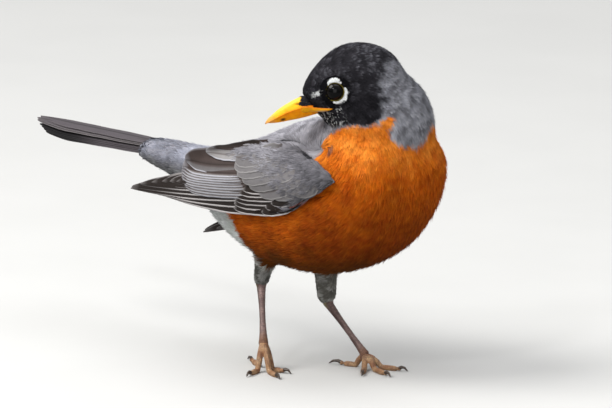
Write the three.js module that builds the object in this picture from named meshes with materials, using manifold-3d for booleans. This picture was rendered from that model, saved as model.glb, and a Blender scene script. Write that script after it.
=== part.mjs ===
// An american robin, life size, as a still museum model. Millimetres, +X along the trunk's heading, +Y the
// bird's left, +Z up. It stands on the flats under its toes and looks back over its right shoulder.
import * as THREE from 'three';
import { mergeVertices } from 'three/addons/utils/BufferGeometryUtils.js';
import Module from 'manifold-3d';

const wasm = await Module();
wasm.setup();

const { CatmullRomCurve3, MathUtils, Matrix4, Vector3 } = THREE;
const LEFT = 1;
const RIGHT = -1;

// ---- Driving dimensions ----
const GAP = 0.3;
const FLOOR = 0;
const WELD_DISTANCE = 1e-4;
const HALF_SPACE_SIZE = 600;
const WING_SLAB_DEPTH = 60;

// Facets around and along each kind of form.
const TRUNK_FACETS = [32, 20];
const RUMP_FACETS = [18, 9];
const NECK_FACETS = [28, 8];
const HEAD_FACETS = [28, 16];
const BILL_FACETS = [10, 8];
const EYE_FACETS = [14, 9];
const WING_FACETS = [14, 16];
const TAIL_FACETS = [12, 9];
const THIGH_FACETS = [12, 6];
const TARSUS_FACETS = [8, 7];
const TOE_FACETS = [8, 8];
const CLAW_FACETS = [6, 5];

// How square the cross-sections are: 1 is an ellipse, and less is fuller.
const TRUNK_FULLNESS = 0.94;
const HEAD_FULLNESS = 0.88;

// Trunk, rear to breast: x, lowest z, highest z, half width, z of the greatest width.
const TRUNK_SECTIONS = [
  [-84, 82, 82, 0, 82],
  [-80, 74, 87.5, 9.5, 82],
  [-70, 64, 88.8, 15.5, 79],
  [-56, 54, 94, 23, 76.5],
  [-38, 46.5, 101, 29.6, 76],
  [-18, 43.2, 110, 33, 77],
  [2, 43.6, 115.5, 34.6, 79.5],
  [20, 49, 118, 34.8, 84],
  [34, 57, 116, 32, 90],
  [44, 69, 112, 25.8, 95],
  [50.5, 82, 107, 16.5, 96],
  [53.5, 95.5, 95.5, 0, 95.5],
];

// Rump and the coverts around the tail's root: same columns.
const RUMP_SECTIONS = [
  [-52, 80, 80, 0, 80],
  [-60, 68, 89.5, 14, 80],
  [-74, 67.5, 88.4, 13.5, 80],
  [-90, 71, 88.2, 12.2, 81],
  [-103, 75, 88, 11.8, 82.5],
  [-113, 78.5, 87.6, 11.4, 83],
  [-119, 83.6, 83.6, 0, 83.6],
];

// Tail feathers, root to tip: x, y, z of the middle, half width, half thickness.
const TAIL_SECTIONS = [
  [-78, -0.5, 82.6, 0, 0],
  [-82, -0.6, 82.7, 6.5, 2.4],
  [-100, -1.2, 83.4, 8.2, 2.2],
  [-130, -2.1, 84.2, 9.2, 1.8],
  [-158, -2.9, 84.8, 9.6, 1.3],
  [-170, -3.2, 85, 8, 0.9],
  [-176, -3.4, 85, 0, 0],
];
const TAIL_ROLL = MathUtils.degToRad(11);

// Neck, root to skull: x, y, z of the middle, half extents along and across its broad way.
const NECK_SECTIONS = [
  [24, 0, 82, 0, 0],
  [25, 0, 90, 24, 24],
  [26.5, 1, 104, 24.2, 25],
  [26, 2, 115, 24.2, 24.6],
  [24, 1.5, 125, 23.2, 21.8],
  [22, -1, 133, 20.6, 18],
  [20, -3, 139.5, 13.6, 12.5],
  [18.5, -4.5, 143.5, 0, 0],
];
const NECK_BROAD_WAY = MathUtils.degToRad(50);

// The planes where the flesh parts: a point and the way that the plane faces. The head parts from the neck
// under the throat and behind the nape, the neck from the trunk over the shoulders, and the trunk from the
// rump ahead of the tail's coverts.
const HEAD_EDGE = [new Vector3(24, 0, 121), new Vector3(-0.45, -0.5, 0.74)];
const NECK_EDGE = [new Vector3(2, 0, 117.5), new Vector3(0.289, 0, 0.957)];
const RUMP_EDGE = [new Vector3(-67, 0, 80), new Vector3(1, 0, 0.12)];

// Head, in its own frame: distance ahead of its middle, lowest, highest, half width, height of the
// greatest width, and how far the section leans forward for each millimetre of height.
const HEAD_MIDDLE = new Vector3(19, -7, 130);
const HEAD_HEADING = MathUtils.degToRad(-125);
const HEAD_DIP = MathUtils.degToRad(12);
const HEAD_SECTIONS = [
  [24, -2, -2, 0, -2, 0],
  [22.4, -6.2, 2.4, 4.8, -1.6, 0.36],
  [18.4, -9.6, 8.6, 8.4, -0.2, 0.18],
  [13.6, -13, 14, 11.2, 1, 0.06],
  [7.5, -16, 18.2, 13.4, 1.8, 0],
  [0, -18, 20.1, 15, 1.4, 0],
  [-7.5, -18, 19, 15.6, 0.6, 0],
  [-14.5, -16, 15.8, 14.8, 0, 0],
  [-20.5, -12, 10, 11, -0.8, 0],
  [-24.5, -1.5, -1.5, 0, -1.5, 0],
];

// Bill halves, in the head's frame: distance ahead, height of the edge that they share, height of the far
// edge (culmen or gonys) and half width.
const BILL_UPPER_SECTIONS = [
  [16.2, -3.2, -3.2, 0],
  [17, -3.7, 1, 4.6],
  [24.5, -2.3, 2.1, 4],
  [31.9, -2.2, 0.5, 3],
  [37.6, -3.7, -2, 2],
  [41.2, -5.6, -4.3, 0.9],
  [42.6, -6.1, -6.1, 0],
];
const BILL_LOWER_SECTIONS = [
  [15.6, -4.6, -4.6, 0],
  [16.6, -4.1, -6.4, 4.5],
  [24.5, -2.7, -6.3, 3.7],
  [31.6, -2.6, -5.9, 2.7],
  [37, -4.2, -5.8, 1.6],
  [40.4, -5.6, -5.6, 0],
];
// The shared faces of the bill halves swell by this much of their half width.
const BILL_EDGE_CROWN = 0.12;
const EYE_PLACE = [9.8, 8.9, 2.8];
const EYE_RADIUS = 4.7;

// Folded right wing, wrist to tip: x, y of the outer face, lowest z, highest z, half thickness and how
// far the section leans over the back for each millimetre of height. The left wing mirrors it.
const WING_SECTIONS = [
  [35, -34.5, 94, 94, 8, 0.2],
  [31, -36.2, 90.5, 98, 9, 0.2],
  [20, -38.6, 83.5, 103, 13, 0.22],
  [10, -39, 76, 105.5, 15, 0.36],
  [-4, -38.8, 73.6, 106.6, 15.5, 0.48],
  [-22, -38, 71.8, 104.6, 14, 0.5],
  [-40, -35.8, 70.6, 99.5, 11, 0.45],
  [-57, -32.4, 69.8, 93, 7, 0.4],
  [-68, -29.2, 69.5, 86, 4.4, 0.32],
  [-80, -26.6, 69.3, 78.2, 2.4, 0.2],
  [-94, -24, 69, 73.4, 1.7, 0.1],
  [-104, -22.6, 69.6, 69.6, 1.3, 0],
];
// The rounded section stands past the outline by this much of its height, so that the rim has thickness.
const WING_RIM = 0.16;
const WING_PAST_WRIST = 6;
const WING_PAST_TIP = 1;
const WING_OUTLINE_STEPS = 26;
const WING_WRIST = new Vector3(26, -30, 94);
const WING_DROOP = { [RIGHT]: 0, [LEFT]: MathUtils.degToRad(10.5) };
const WING_CLOSE = { [RIGHT]: 0, [LEFT]: MathUtils.degToRad(-3.2) };
// The wing's feather groups part along two slanted planes, each given by two points of its side view.
const COVERT_EDGE = [[-3, 74], [-36, 98]];
const PRIMARY_EDGE = [[0, 75.6], [-74, 79.4]];

// Legs: ankle, toe joint, and the tips of digits 1 (hallux) to 4, with the thigh's root in the belly.
const LEGS = {
  right: {
    root: [-30.5, -10.5, 58], ankle: [-39, -6.5, 34.1], joint: [-24.3, -19.7, 12.6],
    tips: [[-44, -10], [-9.4, -17.4], [-5, -28.8], [-19, -35.5]],
  },
  left: {
    root: [-17, 11, 56], ankle: [-17, 12, 26.9], joint: [4, 15, 5.6],
    tips: [[-13, 9], [16, 0.5], [26, 8.3], [23, 22]],
  },
};
const THIGH_RADII = [6, 5, 4, 3.4, 3];
const TARSUS_RADII = [2.3, 1.5, 1.25, 1.35, 2.2];
// How soon a bar reaches its full radius from its end.
const BAR_BLUNTNESS = 2.2;
// The thigh and the tarsus run past their joints by this much, and each is let into the next.
const JOINT_OVERLAP = 1.3;
const TOE_RADIUS = 1.25;
const TOE_FLAT_DEPTH = 0.35;
const TOE_REACH_ON_FLOOR = [0.45, 0.5, 0.5, 0.5];
const CLAW_LENGTH = [7.5, 5.2, 5.8, 5];
const CLAW_RADIUS = 0.85;
const CLAW_ARCH = 1.5;

const FINISHES = {
  slate: { color: 0x4f4c50, roughness: 0.85 },
  black: { color: 0x1c1a1d, roughness: 0.8 },
  nape: { color: 0x5c5c62, roughness: 0.85 },
  rust: { color: 0xb4480f, roughness: 0.85 },
  dusky: { color: 0x332b2c, roughness: 0.75 },
  bill: { color: 0xeaa21a, roughness: 0.4 },
  eye: { color: 0x140d0a, roughness: 0.08 },
  thigh: { color: 0x5a5b57, roughness: 0.85 },
  shank: { color: 0x59403a, roughness: 0.55 },
  toe: { color: 0xa96a45, roughness: 0.55 },
  claw: { color: 0x3c2d29, roughness: 0.45 },
};

// ---- Solids ----
/** Turns a closed geometry into a solid that can be joined and cut. */
function toSolid(geometry) {
  const bare = geometry.clone();
  bare.deleteAttribute('normal');
  bare.deleteAttribute('uv');
  const merged = mergeVertices(bare, WELD_DISTANCE);
  const vertProperties = new Float32Array(merged.getAttribute('position').array);
  const triVerts = new Uint32Array(merged.index.array);
  return new wasm.Manifold(new wasm.Mesh({ numProp: 3, vertProperties, triVerts }));
}

/** Turns a solid back into a geometry, keeping only its largest body. */
function toGeometry(solid) {
  const bodies = solid.decompose().sort((a, b) => b.volume() - a.volume());
  const mesh = bodies[0].getMesh();
  const geometry = new THREE.BufferGeometry();
  geometry.setAttribute('position', new THREE.BufferAttribute(mesh.vertProperties, 3));
  geometry.setIndex(new THREE.BufferAttribute(mesh.triVerts, 1));
  geometry.computeVertexNormals();
  return geometry;
}

/** A sphere whose rings, from t = 0 at one pole to t = 1 at the other, are each put in place. */
function ringForm([around, along], place) {
  const geometry = new THREE.SphereGeometry(1, around, along);
  const uv = geometry.getAttribute('uv');
  const position = geometry.getAttribute('position');
  for (let i = 0; i < position.count; i += 1) {
    const point = place(1 - uv.getY(i), uv.getX(i) * 2 * Math.PI);
    position.setXYZ(i, point.x, point.y, point.z);
  }
  const solid = toSolid(geometry);
  return solid.volume() > 0 ? solid : toSolid(turnedInsideOut(geometry));
}

/** The same geometry with each triangle wound the other way. */
function turnedInsideOut(geometry) {
  const index = geometry.index;
  for (let i = 0; i < index.count; i += 3) {
    const first = index.getX(i);
    index.setX(i, index.getX(i + 2));
    index.setX(i + 2, first);
  }
  return geometry;
}

/** Smooth reading of columns of numbers, t = 0 at the first row and t = 1 at the last. */
function columns(rows) {
  const width = rows[0].length;
  const curves = [];
  for (let column = 0; column < width; column += 3) {
    const points = rows.map((row) => new Vector3(row[column], row[column + 1] ?? 0, row[column + 2] ?? 0));
    curves.push(new CatmullRomCurve3(points, false, 'catmullrom', 0.5));
  }
  return (t) => curves.flatMap((curve) => curve.getPoint(t).toArray()).slice(0, width);
}

/** Moves a pole outward, and leaves the rings between the poles where they are. */
function polePush(t, grow) {
  if (t === 0) {
    return -grow;
  }
  return t === 1 ? grow : 0;
}

/** Sine or cosine of an ellipse's angle, pushed out towards a square. */
function fuller(value, fullness) {
  return Math.sign(value) * Math.abs(value) ** fullness;
}

/** A form with one section per row, upright and across X: x, lowest, highest, half width, level, lean. */
function uprightForm(rows, facets, fullness, grow = 0) {
  const read = columns(rows);
  const sense = Math.sign(rows.at(-1)[0] - rows[0][0]);
  return ringForm(facets, (t, angle) => {
    const [x, low, high, half, level, lean = 0] = read(t);
    const inside = t > 0 && t < 1 ? grow : 0;
    const rise = fuller(Math.sin(angle), fullness);
    const reach = rise > 0 ? high - level : level - low;
    const height = (reach + inside) * rise;
    return new Vector3(
      x + lean * height + sense * polePush(t, grow),
      (half + inside) * fuller(Math.cos(angle), fullness),
      level + height,
    );
  });
}

/** A round bar along a curve, with its radius read from a list, closed by rounded ends. */
function bar(curve, radii, facets, grow = 0) {
  const read = columns(radii.map((radius) => [radius]));
  return ringForm(facets, (t, angle) => {
    const along = (1 - Math.cos(Math.PI * t)) / 2;
    const middle = curve.getPoint(along);
    const forward = curve.getTangent(along);
    const across = new Vector3(0, 0, 1).cross(forward).normalize();
    const up = forward.clone().cross(across);
    const radius = (read(along)[0] + grow) * Math.min(1, BAR_BLUNTNESS * Math.sin(Math.PI * t));
    return middle
      .addScaledVector(across, radius * Math.cos(angle))
      .addScaledVector(up, radius * Math.sin(angle))
      .addScaledVector(forward, polePush(t, grow));
  });
}

/** Everything on the side of a plane that its normal points to, less half a gap. */
function halfSpace(point, normal, gap = GAP) {
  const size = HALF_SPACE_SIZE;
  const box = new THREE.BoxGeometry(size, size, size);
  box.translate(0, 0, size / 2 + gap / 2);
  const facing = normal.clone().normalize();
  box.applyQuaternion(new THREE.Quaternion().setFromUnitVectors(new Vector3(0, 0, 1), facing));
  box.translate(point.x, point.y, point.z);
  return toSolid(box);
}

/** Parts a solid at a plane: the side that the normal points to, then the rest. */
function partAt(solid, point, normal) {
  const ahead = solid.intersect(halfSpace(point, normal));
  const behind = solid.intersect(halfSpace(point, normal.clone().negate()));
  return [ahead, behind];
}

// ---- Flesh ----
function trunkForm(grow = 0) {
  return uprightForm(TRUNK_SECTIONS, TRUNK_FACETS, TRUNK_FULLNESS, grow);
}

function rumpForm(grow = 0) {
  return uprightForm(RUMP_SECTIONS, RUMP_FACETS, TRUNK_FULLNESS, grow);
}

function neckForm() {
  const read = columns(NECK_SECTIONS);
  const broad = new Vector3(Math.cos(NECK_BROAD_WAY), Math.sin(NECK_BROAD_WAY), 0);
  const narrow = new Vector3(-broad.y, broad.x, 0);
  return ringForm(NECK_FACETS, (t, angle) => {
    const [x, y, z, along, across] = read(t);
    return new Vector3(x, y, z)
      .addScaledVector(broad, along * Math.cos(angle))
      .addScaledVector(narrow, across * Math.sin(angle));
  });
}

/** The head's frame: X to the bill, Y to its left, Z to the crown. */
function headMatrix() {
  const turn = new Matrix4().makeRotationZ(HEAD_HEADING);
  const dip = new Matrix4().makeRotationY(HEAD_DIP);
  return new Matrix4().makeTranslation(HEAD_MIDDLE).multiply(turn).multiply(dip);
}

/** Puts a solid made in the head's frame onto the bird. */
function onHead(solid) {
  return solid.transform(headMatrix().elements);
}

function headForm() {
  return onHead(uprightForm(HEAD_SECTIONS, HEAD_FACETS, HEAD_FULLNESS));
}

/** One half of the bill: the shared edge, the far edge and the width, in rows from gape to tip. */
function billHalf(rows, grow = 0) {
  const read = columns(rows);
  return onHead(ringForm(BILL_FACETS, (t, angle) => {
    const [x, edge, far, half] = read(t);
    const inside = t > 0 && t < 1 ? grow : 0;
    const arch = Math.abs(Math.sin(angle));
    const outward = Math.sign(rows[1][2] - rows[1][1]);
    const faces = Math.sin(angle) > 0
      ? MathUtils.lerp(edge, far, arch) + outward * inside
      : edge - outward * (BILL_EDGE_CROWN * arch * half + inside);
    return new Vector3(x + polePush(t, grow), (half + inside) * Math.cos(angle), faces);
  }));
}

function eyeForm(side, grow = 0) {
  const geometry = new THREE.SphereGeometry(EYE_RADIUS + grow, ...EYE_FACETS);
  geometry.translate(EYE_PLACE[0], side * EYE_PLACE[1], EYE_PLACE[2]);
  return onHead(toSolid(geometry));
}

// ---- Wings and tail ----
/** Carries a folded right wing, made in place, to its droop and then to its own side. */
function wingMatrix(side) {
  return new Matrix4().makeScale(1, -side, 1)
    .multiply(new Matrix4().makeTranslation(WING_WRIST))
    .multiply(new Matrix4().makeRotationY(-WING_DROOP[side]))
    .multiply(new Matrix4().makeRotationZ(WING_CLOSE[side]))
    .multiply(new Matrix4().makeTranslation(WING_WRIST.clone().negate()));
}

/** The wing's side view as an upright slab, which trims the wing to a rim with some thickness. */
function wingOutline() {
  const read = columns(WING_SECTIONS);
  const lower = [];
  const upper = [];
  for (let step = 0; step <= WING_OUTLINE_STEPS; step += 1) {
    const [x, , low, high] = read(step / WING_OUTLINE_STEPS);
    lower.push(new THREE.Vector2(x, low));
    if (high - low > GAP) {
      upper.unshift(new THREE.Vector2(x, high));
    }
  }
  const depth = WING_SLAB_DEPTH;
  const outline = new THREE.Shape([...lower, ...upper]);
  const slab = new THREE.ExtrudeGeometry(outline, { depth, bevelEnabled: false });
  slab.rotateX(Math.PI / 2);
  return toSolid(slab);
}

function wingForm(side) {
  const read = columns(WING_SECTIONS);
  const rounded = ringForm(WING_FACETS, (t, angle) => {
    const [x, outer, low, high, half, lean] = read(t);
    if (t === 0) {
      return new Vector3(x + WING_PAST_WRIST, outer + half / 2, low);
    }
    if (t === 1) {
      return new Vector3(x - WING_PAST_TIP, outer + half, low);
    }
    const height = ((high - low) * (0.5 + WING_RIM) + 1) * Math.sin(angle);
    const across = half - half * Math.cos(angle);
    const tilt = lean * (height > 0 ? height : height / 4);
    return new Vector3(x, outer + across + tilt, (high + low) / 2 + height);
  });
  return rounded.intersect(wingOutline()).transform(wingMatrix(side).elements);
}

/** A plane through two points of the wing's side view, facing forward or down. */
function wingPlane(edge, side) {
  const matrix = wingMatrix(side);
  const [start, end] = edge.map(([x, z]) => new Vector3(x, WING_WRIST.y, z).applyMatrix4(matrix));
  const along = end.clone().sub(start);
  const normal = new Vector3(0, 1, 0).cross(along).normalize();
  return [start, normal];
}

function tailForm(grow = 0) {
  const read = columns(TAIL_SECTIONS);
  return ringForm(TAIL_FACETS, (t, angle) => {
    const [x, y, z, half, thick] = read(t);
    const inside = t > 0 && t < 1 ? grow : 0;
    const across = (half + inside) * Math.cos(angle);
    const through = (thick + inside) * Math.sin(angle);
    return new Vector3(
      x - polePush(t, grow),
      y + across * Math.cos(TAIL_ROLL) - through * Math.sin(TAIL_ROLL),
      z + across * Math.sin(TAIL_ROLL) + through * Math.cos(TAIL_ROLL),
    );
  });
}

// ---- Legs ----
function thighForm(leg) {
  const root = new Vector3(...leg.root);
  const ankle = new Vector3(...leg.ankle);
  const end = ankle.clone().addScaledVector(ankle.clone().sub(root).normalize(), JOINT_OVERLAP);
  return bar(new THREE.LineCurve3(root, end), THIGH_RADII, THIGH_FACETS);
}

function tarsusForm(leg, grow = 0) {
  const ankle = new Vector3(...leg.ankle);
  const joint = new Vector3(...leg.joint);
  const down = joint.clone().sub(ankle).normalize();
  const top = ankle.clone().addScaledVector(down, -JOINT_OVERLAP);
  const foot = joint.clone().addScaledVector(down, JOINT_OVERLAP);
  return bar(new THREE.LineCurve3(top, foot), TARSUS_RADII, TARSUS_FACETS, grow);
}

/** Where each toe leaves the floor for the joint, and where its claw begins. */
function toeCourse(leg, digit) {
  const joint = new Vector3(...leg.joint);
  const tip = new Vector3(...leg.tips[digit], FLOOR);
  const level = joint.clone().setZ(FLOOR);
  const heading = tip.clone().sub(level).normalize();
  const reach = tip.distanceTo(level) - CLAW_LENGTH[digit];
  const height = TOE_RADIUS - TOE_FLAT_DEPTH;
  const touch = level.clone().addScaledVector(heading, reach * TOE_REACH_ON_FLOOR[digit]).setZ(height);
  const end = level.clone().addScaledVector(heading, reach).setZ(height);
  const start = joint.clone().addScaledVector(heading, 0.6);
  return { start, touch, end, heading };
}

function toeForm(leg, digit) {
  const { start, touch, end } = toeCourse(leg, digit);
  const knuckle = start.clone().lerp(touch, 0.55);
  knuckle.z += 0.9;
  const course = new CatmullRomCurve3([start, knuckle, touch, touch.clone().lerp(end, 0.5), end]);
  return bar(course, [1.35, TOE_RADIUS, 1.15, TOE_RADIUS, 1.05], TOE_FACETS);
}

/** A claw that arches from the toe's end down to the floor. */
function clawForm(leg, digit) {
  const { end, heading } = toeCourse(leg, digit);
  const root = end.clone().addScaledVector(heading, GAP);
  const tip = end.clone().addScaledVector(heading, CLAW_LENGTH[digit]).setZ(FLOOR + 0.25);
  const crest = root.clone().lerp(tip, 0.5).add(new Vector3(0, 0, CLAW_ARCH));
  const course = new CatmullRomCurve3([root, crest, tip]);
  return bar(course, [CLAW_RADIUS, 0.8, 0.62, 0.4, 0.12], CLAW_FACETS);
}

// ---- Assembly ----
const bird = new THREE.Group();

function addPart(name, solid, finish) {
  const { color, roughness } = FINISHES[finish];
  const material = new THREE.MeshStandardMaterial({ color, roughness, metalness: 0 });
  const mesh = new THREE.Mesh(toGeometry(solid), material);
  mesh.name = name;
  bird.add(mesh);
}

const above = halfSpace(new Vector3(0, 0, FLOOR), new Vector3(0, 0, 1), 0);
const sockets = wasm.Manifold.union([
  billHalf(BILL_UPPER_SECTIONS, GAP),
  billHalf(BILL_LOWER_SECTIONS, GAP),
  eyeForm(LEFT, GAP),
  eyeForm(RIGHT, GAP),
]);
const flesh = wasm.Manifold.union([trunkForm(), rumpForm(), neckForm(), headForm()])
  .subtract(sockets)
  .subtract(tailForm(GAP));
const [headAndNeck, body] = partAt(flesh, ...NECK_EDGE);
const [head, neck] = partAt(headAndNeck, ...HEAD_EDGE);
const [trunk, rump] = partAt(body, ...RUMP_EDGE);
addPart('head', head, 'black');
addPart('neck', neck, 'nape');
addPart('trunk', trunk, 'rust');
addPart('rump', rump, 'slate');
addPart('tail', tailForm(), 'dusky');

addPart('bill_upper', billHalf(BILL_UPPER_SECTIONS).subtract(billHalf(BILL_LOWER_SECTIONS, GAP)), 'bill');
addPart('bill_lower', billHalf(BILL_LOWER_SECTIONS), 'bill');
addPart('eye_left', eyeForm(LEFT), 'eye');
addPart('eye_right', eyeForm(RIGHT), 'eye');

const coat = wasm.Manifold.union([trunkForm(GAP), rumpForm(GAP), tailForm(GAP)]);
for (const [name, side] of [['right', RIGHT], ['left', LEFT]]) {
  const wing = wingForm(side).subtract(coat);
  const [coverts, flight] = partAt(wing, ...wingPlane(COVERT_EDGE, side));
  const [secondaries, primaries] = partAt(flight, ...wingPlane(PRIMARY_EDGE, side));
  addPart(`wing_${name}_coverts`, coverts, 'slate');
  addPart(`wing_${name}_secondaries`, secondaries, 'dusky');
  addPart(`wing_${name}_primaries`, primaries, 'dusky');
}

for (const [name, leg] of Object.entries(LEGS)) {
  const thigh = thighForm(leg).subtract(coat).subtract(tarsusForm(leg, GAP));
  addPart(`leg_${name}_thigh`, thigh, 'thigh');
  addPart(`leg_${name}_tarsus`, tarsusForm(leg), 'shank');
  let taken = tarsusForm(leg, GAP);
  for (let digit = 0; digit < leg.tips.length; digit += 1) {
    const toe = toeForm(leg, digit).intersect(above).subtract(taken);
    addPart(`foot_${name}_toe_${digit + 1}`, toe, 'toe');
    addPart(`foot_${name}_claw_${digit + 1}`, clawForm(leg, digit).intersect(above), 'claw');
    taken = taken.add(toeForm(leg, digit));
  }
}

// The origin is under the middle of the whole bird, on the floor.
const middle = new THREE.Box3().setFromObject(bird).getCenter(new Vector3());
bird.position.set(-middle.x, -middle.y, FLOOR);

export default bird;
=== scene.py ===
"""An American robin standing with its head turned back over its right side, life size.

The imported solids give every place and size. One skin replaces the flesh, and the plumage is laid
over it as thin overlapping vanes. All modelling is done in millimetres in the bird's own frame:
X along the trunk towards the breast, Y to the bird's left, Z up, the floor at nought.
"""

import logging
import math
from dataclasses import dataclass, field
from enum import Enum

import bmesh
import bpy
import numpy as np
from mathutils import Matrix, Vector
from mathutils.bvhtree import BVHTree
from mathutils.kdtree import KDTree


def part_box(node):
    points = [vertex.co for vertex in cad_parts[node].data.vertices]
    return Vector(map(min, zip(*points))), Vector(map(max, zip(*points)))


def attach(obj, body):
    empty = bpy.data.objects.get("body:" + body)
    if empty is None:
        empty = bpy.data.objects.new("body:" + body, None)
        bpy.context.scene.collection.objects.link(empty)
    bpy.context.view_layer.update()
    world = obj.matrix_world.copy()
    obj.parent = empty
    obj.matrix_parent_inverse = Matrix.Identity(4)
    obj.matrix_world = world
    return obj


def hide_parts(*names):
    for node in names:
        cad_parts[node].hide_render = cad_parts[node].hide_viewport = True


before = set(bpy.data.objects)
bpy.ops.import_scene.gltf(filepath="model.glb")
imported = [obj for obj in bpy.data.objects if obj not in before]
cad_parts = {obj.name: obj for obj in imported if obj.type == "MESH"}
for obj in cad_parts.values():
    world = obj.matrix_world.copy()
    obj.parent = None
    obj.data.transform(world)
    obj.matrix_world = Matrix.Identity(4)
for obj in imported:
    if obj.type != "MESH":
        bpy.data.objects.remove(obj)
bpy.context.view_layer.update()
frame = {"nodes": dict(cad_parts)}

LOG = logging.getLogger("robin")
MM = 0.001
Array = np.ndarray
Colour = Enum | tuple | Array
Socket = bpy.types.NodeSocket

HEAD_HEADING = math.radians(-125.0)
HEAD_DIP = math.radians(12.0)
EYE_PLACE = np.array([10.75, 8.9, 2.3])
EYE_RADIUS = 4.7
TRUNK_FRONT = 53.5
WING_WRIST = np.array([26.0, -30.0, 94.0])
RING_WHITE = 1.3
UPPER_ROUND, LOWER_ROUND = 0.86, 0.92


class Side(Enum):
    """A side of the bird; the value is the sign of Y."""

    RIGHT = -1
    LEFT = 1

    @property
    def word(self) -> str:
        """The side's name as pieces carry it."""
        return self.name.lower()


class Tint(Enum):
    """Colours of plumage, eye, bill and leg, as screen red, green and blue."""

    JET = (0.066, 0.063, 0.075)
    SOOT = (0.225, 0.22, 0.24)
    HOOD_EDGE = (0.47, 0.47, 0.50)
    NAPE = (0.61, 0.615, 0.65)
    NAPE_PALE = (0.72, 0.725, 0.755)
    MANTLE = (0.585, 0.58, 0.605)
    MANTLE_DARK = (0.39, 0.385, 0.405)
    MANTLE_PALE = (0.66, 0.655, 0.69)
    RUMP = (0.56, 0.575, 0.63)
    # Rusts of the breast: the pale one is painted light on the upper breast, the two darker ones after the
    # rust are painted shade lower down.
    RUST_PALE_LIT = (0.99, 0.66, 0.27)
    RUST = (0.83, 0.375, 0.02)
    RUST_HALF_SHADE = (0.52, 0.175, 0.002)
    RUST_SHADE = (0.21, 0.062, 0.001)
    WHITE = (0.86, 0.87, 0.87)
    VENT = (0.80, 0.82, 0.80)
    SHIN = (0.36, 0.355, 0.335)
    SHIN_PALE = (0.66, 0.66, 0.65)
    QUILL_DARK = (0.15, 0.125, 0.115)
    QUILL_BROWN = (0.27, 0.23, 0.22)
    QUILL_GREY = (0.40, 0.385, 0.385)
    EDGE_PALE = (0.80, 0.78, 0.78)
    EDGE_GREY = (0.68, 0.68, 0.71)
    COVERT = (0.41, 0.40, 0.405)
    COVERT_EDGE = (0.54, 0.53, 0.53)
    TAIL_DARK = (0.085, 0.08, 0.085)
    TAIL_BROWN = (0.305, 0.285, 0.30)
    IRIS = (0.065, 0.045, 0.03)
    IRIS_RIM = (0.04, 0.03, 0.02)
    PUPIL = (0.012, 0.012, 0.015)
    LID = (0.36, 0.32, 0.10)
    BILL = (1.0, 0.71, 0.01)
    BILL_EDGE = (0.98, 0.57, 0.005)
    BILL_LOWER = (1.0, 0.60, 0.0)
    # Painted highlight along the bill's ridge.
    BILL_RIDGE_HIGHLIGHT = (0.97, 0.80, 0.34)
    BILL_BASE = (0.90, 0.56, 0.05)
    BILL_TIP = (0.80, 0.60, 0.40)
    BILL_HORN = (0.45, 0.33, 0.26)
    BILL_MARK = (0.14, 0.08, 0.05)
    # Painted shade in the nostril pit.
    NOSTRIL = (0.42, 0.20, 0.03)
    GAPE = (0.93, 0.66, 0.05)
    GAPE_DEEP = (0.80, 0.42, 0.03)
    GAPE_PALE = (0.62, 0.58, 0.50)
    SHANK = (0.33, 0.245, 0.235)
    # Painted highlight down the front of the tarsus, also used for its own paler mottle.
    SHANK_HIGHLIGHT_AND_MOTTLE = (0.62, 0.52, 0.50)
    SHANK_SEAM = (0.16, 0.11, 0.10)
    HEEL = (0.62, 0.58, 0.40)
    ANKLE = (0.50, 0.36, 0.28)
    TOE = (0.60, 0.42, 0.29)
    TOE_PALE = (0.72, 0.58, 0.44)
    TOE_DARK = (0.42, 0.30, 0.24)
    TOE_SEAM = (0.28, 0.18, 0.13)

    @property
    def light(self) -> Array:
        """The colour as linear light."""
        return linear(self.value)


def linear(colour: tuple[float, ...] | Array) -> Array:
    """Turns a screen colour into linear light.

    Args:
        colour: Red, green and blue from 0 to 1 as a screen shows them.

    Returns:
        The same colour in linear light.
    """
    values = np.asarray(colour, float)
    return np.where(values <= 0.04045, values / 12.92, ((values + 0.055) / 1.055) ** 2.4)


def smooth(low: float | Array, high: float | Array, value: Array) -> Array:
    """A soft step from 0 at low to 1 at high.

    Args:
        low: Where the step starts.
        high: Where it ends; below low for a falling step.
        value: The values to step over.

    Returns:
        Values from 0 to 1.
    """
    share = np.clip((value - low) / (high - low), 0.0, 1.0)
    return share * share * (3.0 - 2.0 * share)


def as_light(colour: Colour) -> Array:
    """A tint or a screen colour as linear light; rows of linear light stay as they are."""
    colour = colour.value if isinstance(colour, Tint) else colour
    return linear(colour) if isinstance(colour, tuple) else colour


def blend(first: Colour, second: Colour, share: float | Array) -> Array:
    """Mixes one colour into another.

    Args:
        first: A tint, a screen colour, or rows of linear light.
        second: The colour that comes in, in any of the same forms.
        share: How much of the second each row takes.

    Returns:
        Rows of linear light.
    """
    start, end = as_light(first), as_light(second)
    return start + (end - start) * np.asarray(share)[..., None]


def layered(colour: Colour, *coats: tuple) -> Array:
    """Lays several colours over a first.

    Args:
        colour: The colour underneath.
        *coats: Each next colour with the share that it takes.

    Returns:
        Rows of linear light.
    """
    for over, share in coats:
        colour = blend(colour, over, share)
    return colour


def blend_pair(ends: tuple, others: tuple, share: Array) -> tuple[Array, Array]:
    """Mixes root and tip colours into others by one share."""
    return blend(ends[0], others[0], share), blend(ends[1], others[1], share)


def settled(value: float, *steps: tuple) -> Array:
    """Moves a value towards level after level.

    Args:
        value: Where it starts.
        *steps: Each next level with the share of the way to it, place by place.

    Returns:
        The value at each place.
    """
    for level, share in steps:
        value = value + (level - value) * share
    return value


def yawed(angle: float) -> Array:
    """The matrix of a turn about the upright axis."""
    along, aside = math.cos(angle), math.sin(angle)
    return np.array([[along, -aside, 0], [aside, along, 0], [0, 0, 1]])


def pitched(angle: float) -> Array:
    """The matrix of a turn about the axis to the left."""
    along, aside = math.cos(angle), math.sin(angle)
    return np.array([[along, 0, aside], [0, 1, 0], [-aside, 0, along]])


def unit(vectors: Array) -> Array:
    """Scales each row to length one."""
    return vectors / np.maximum(np.linalg.norm(vectors, axis=-1, keepdims=True), 1e-9)


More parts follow.
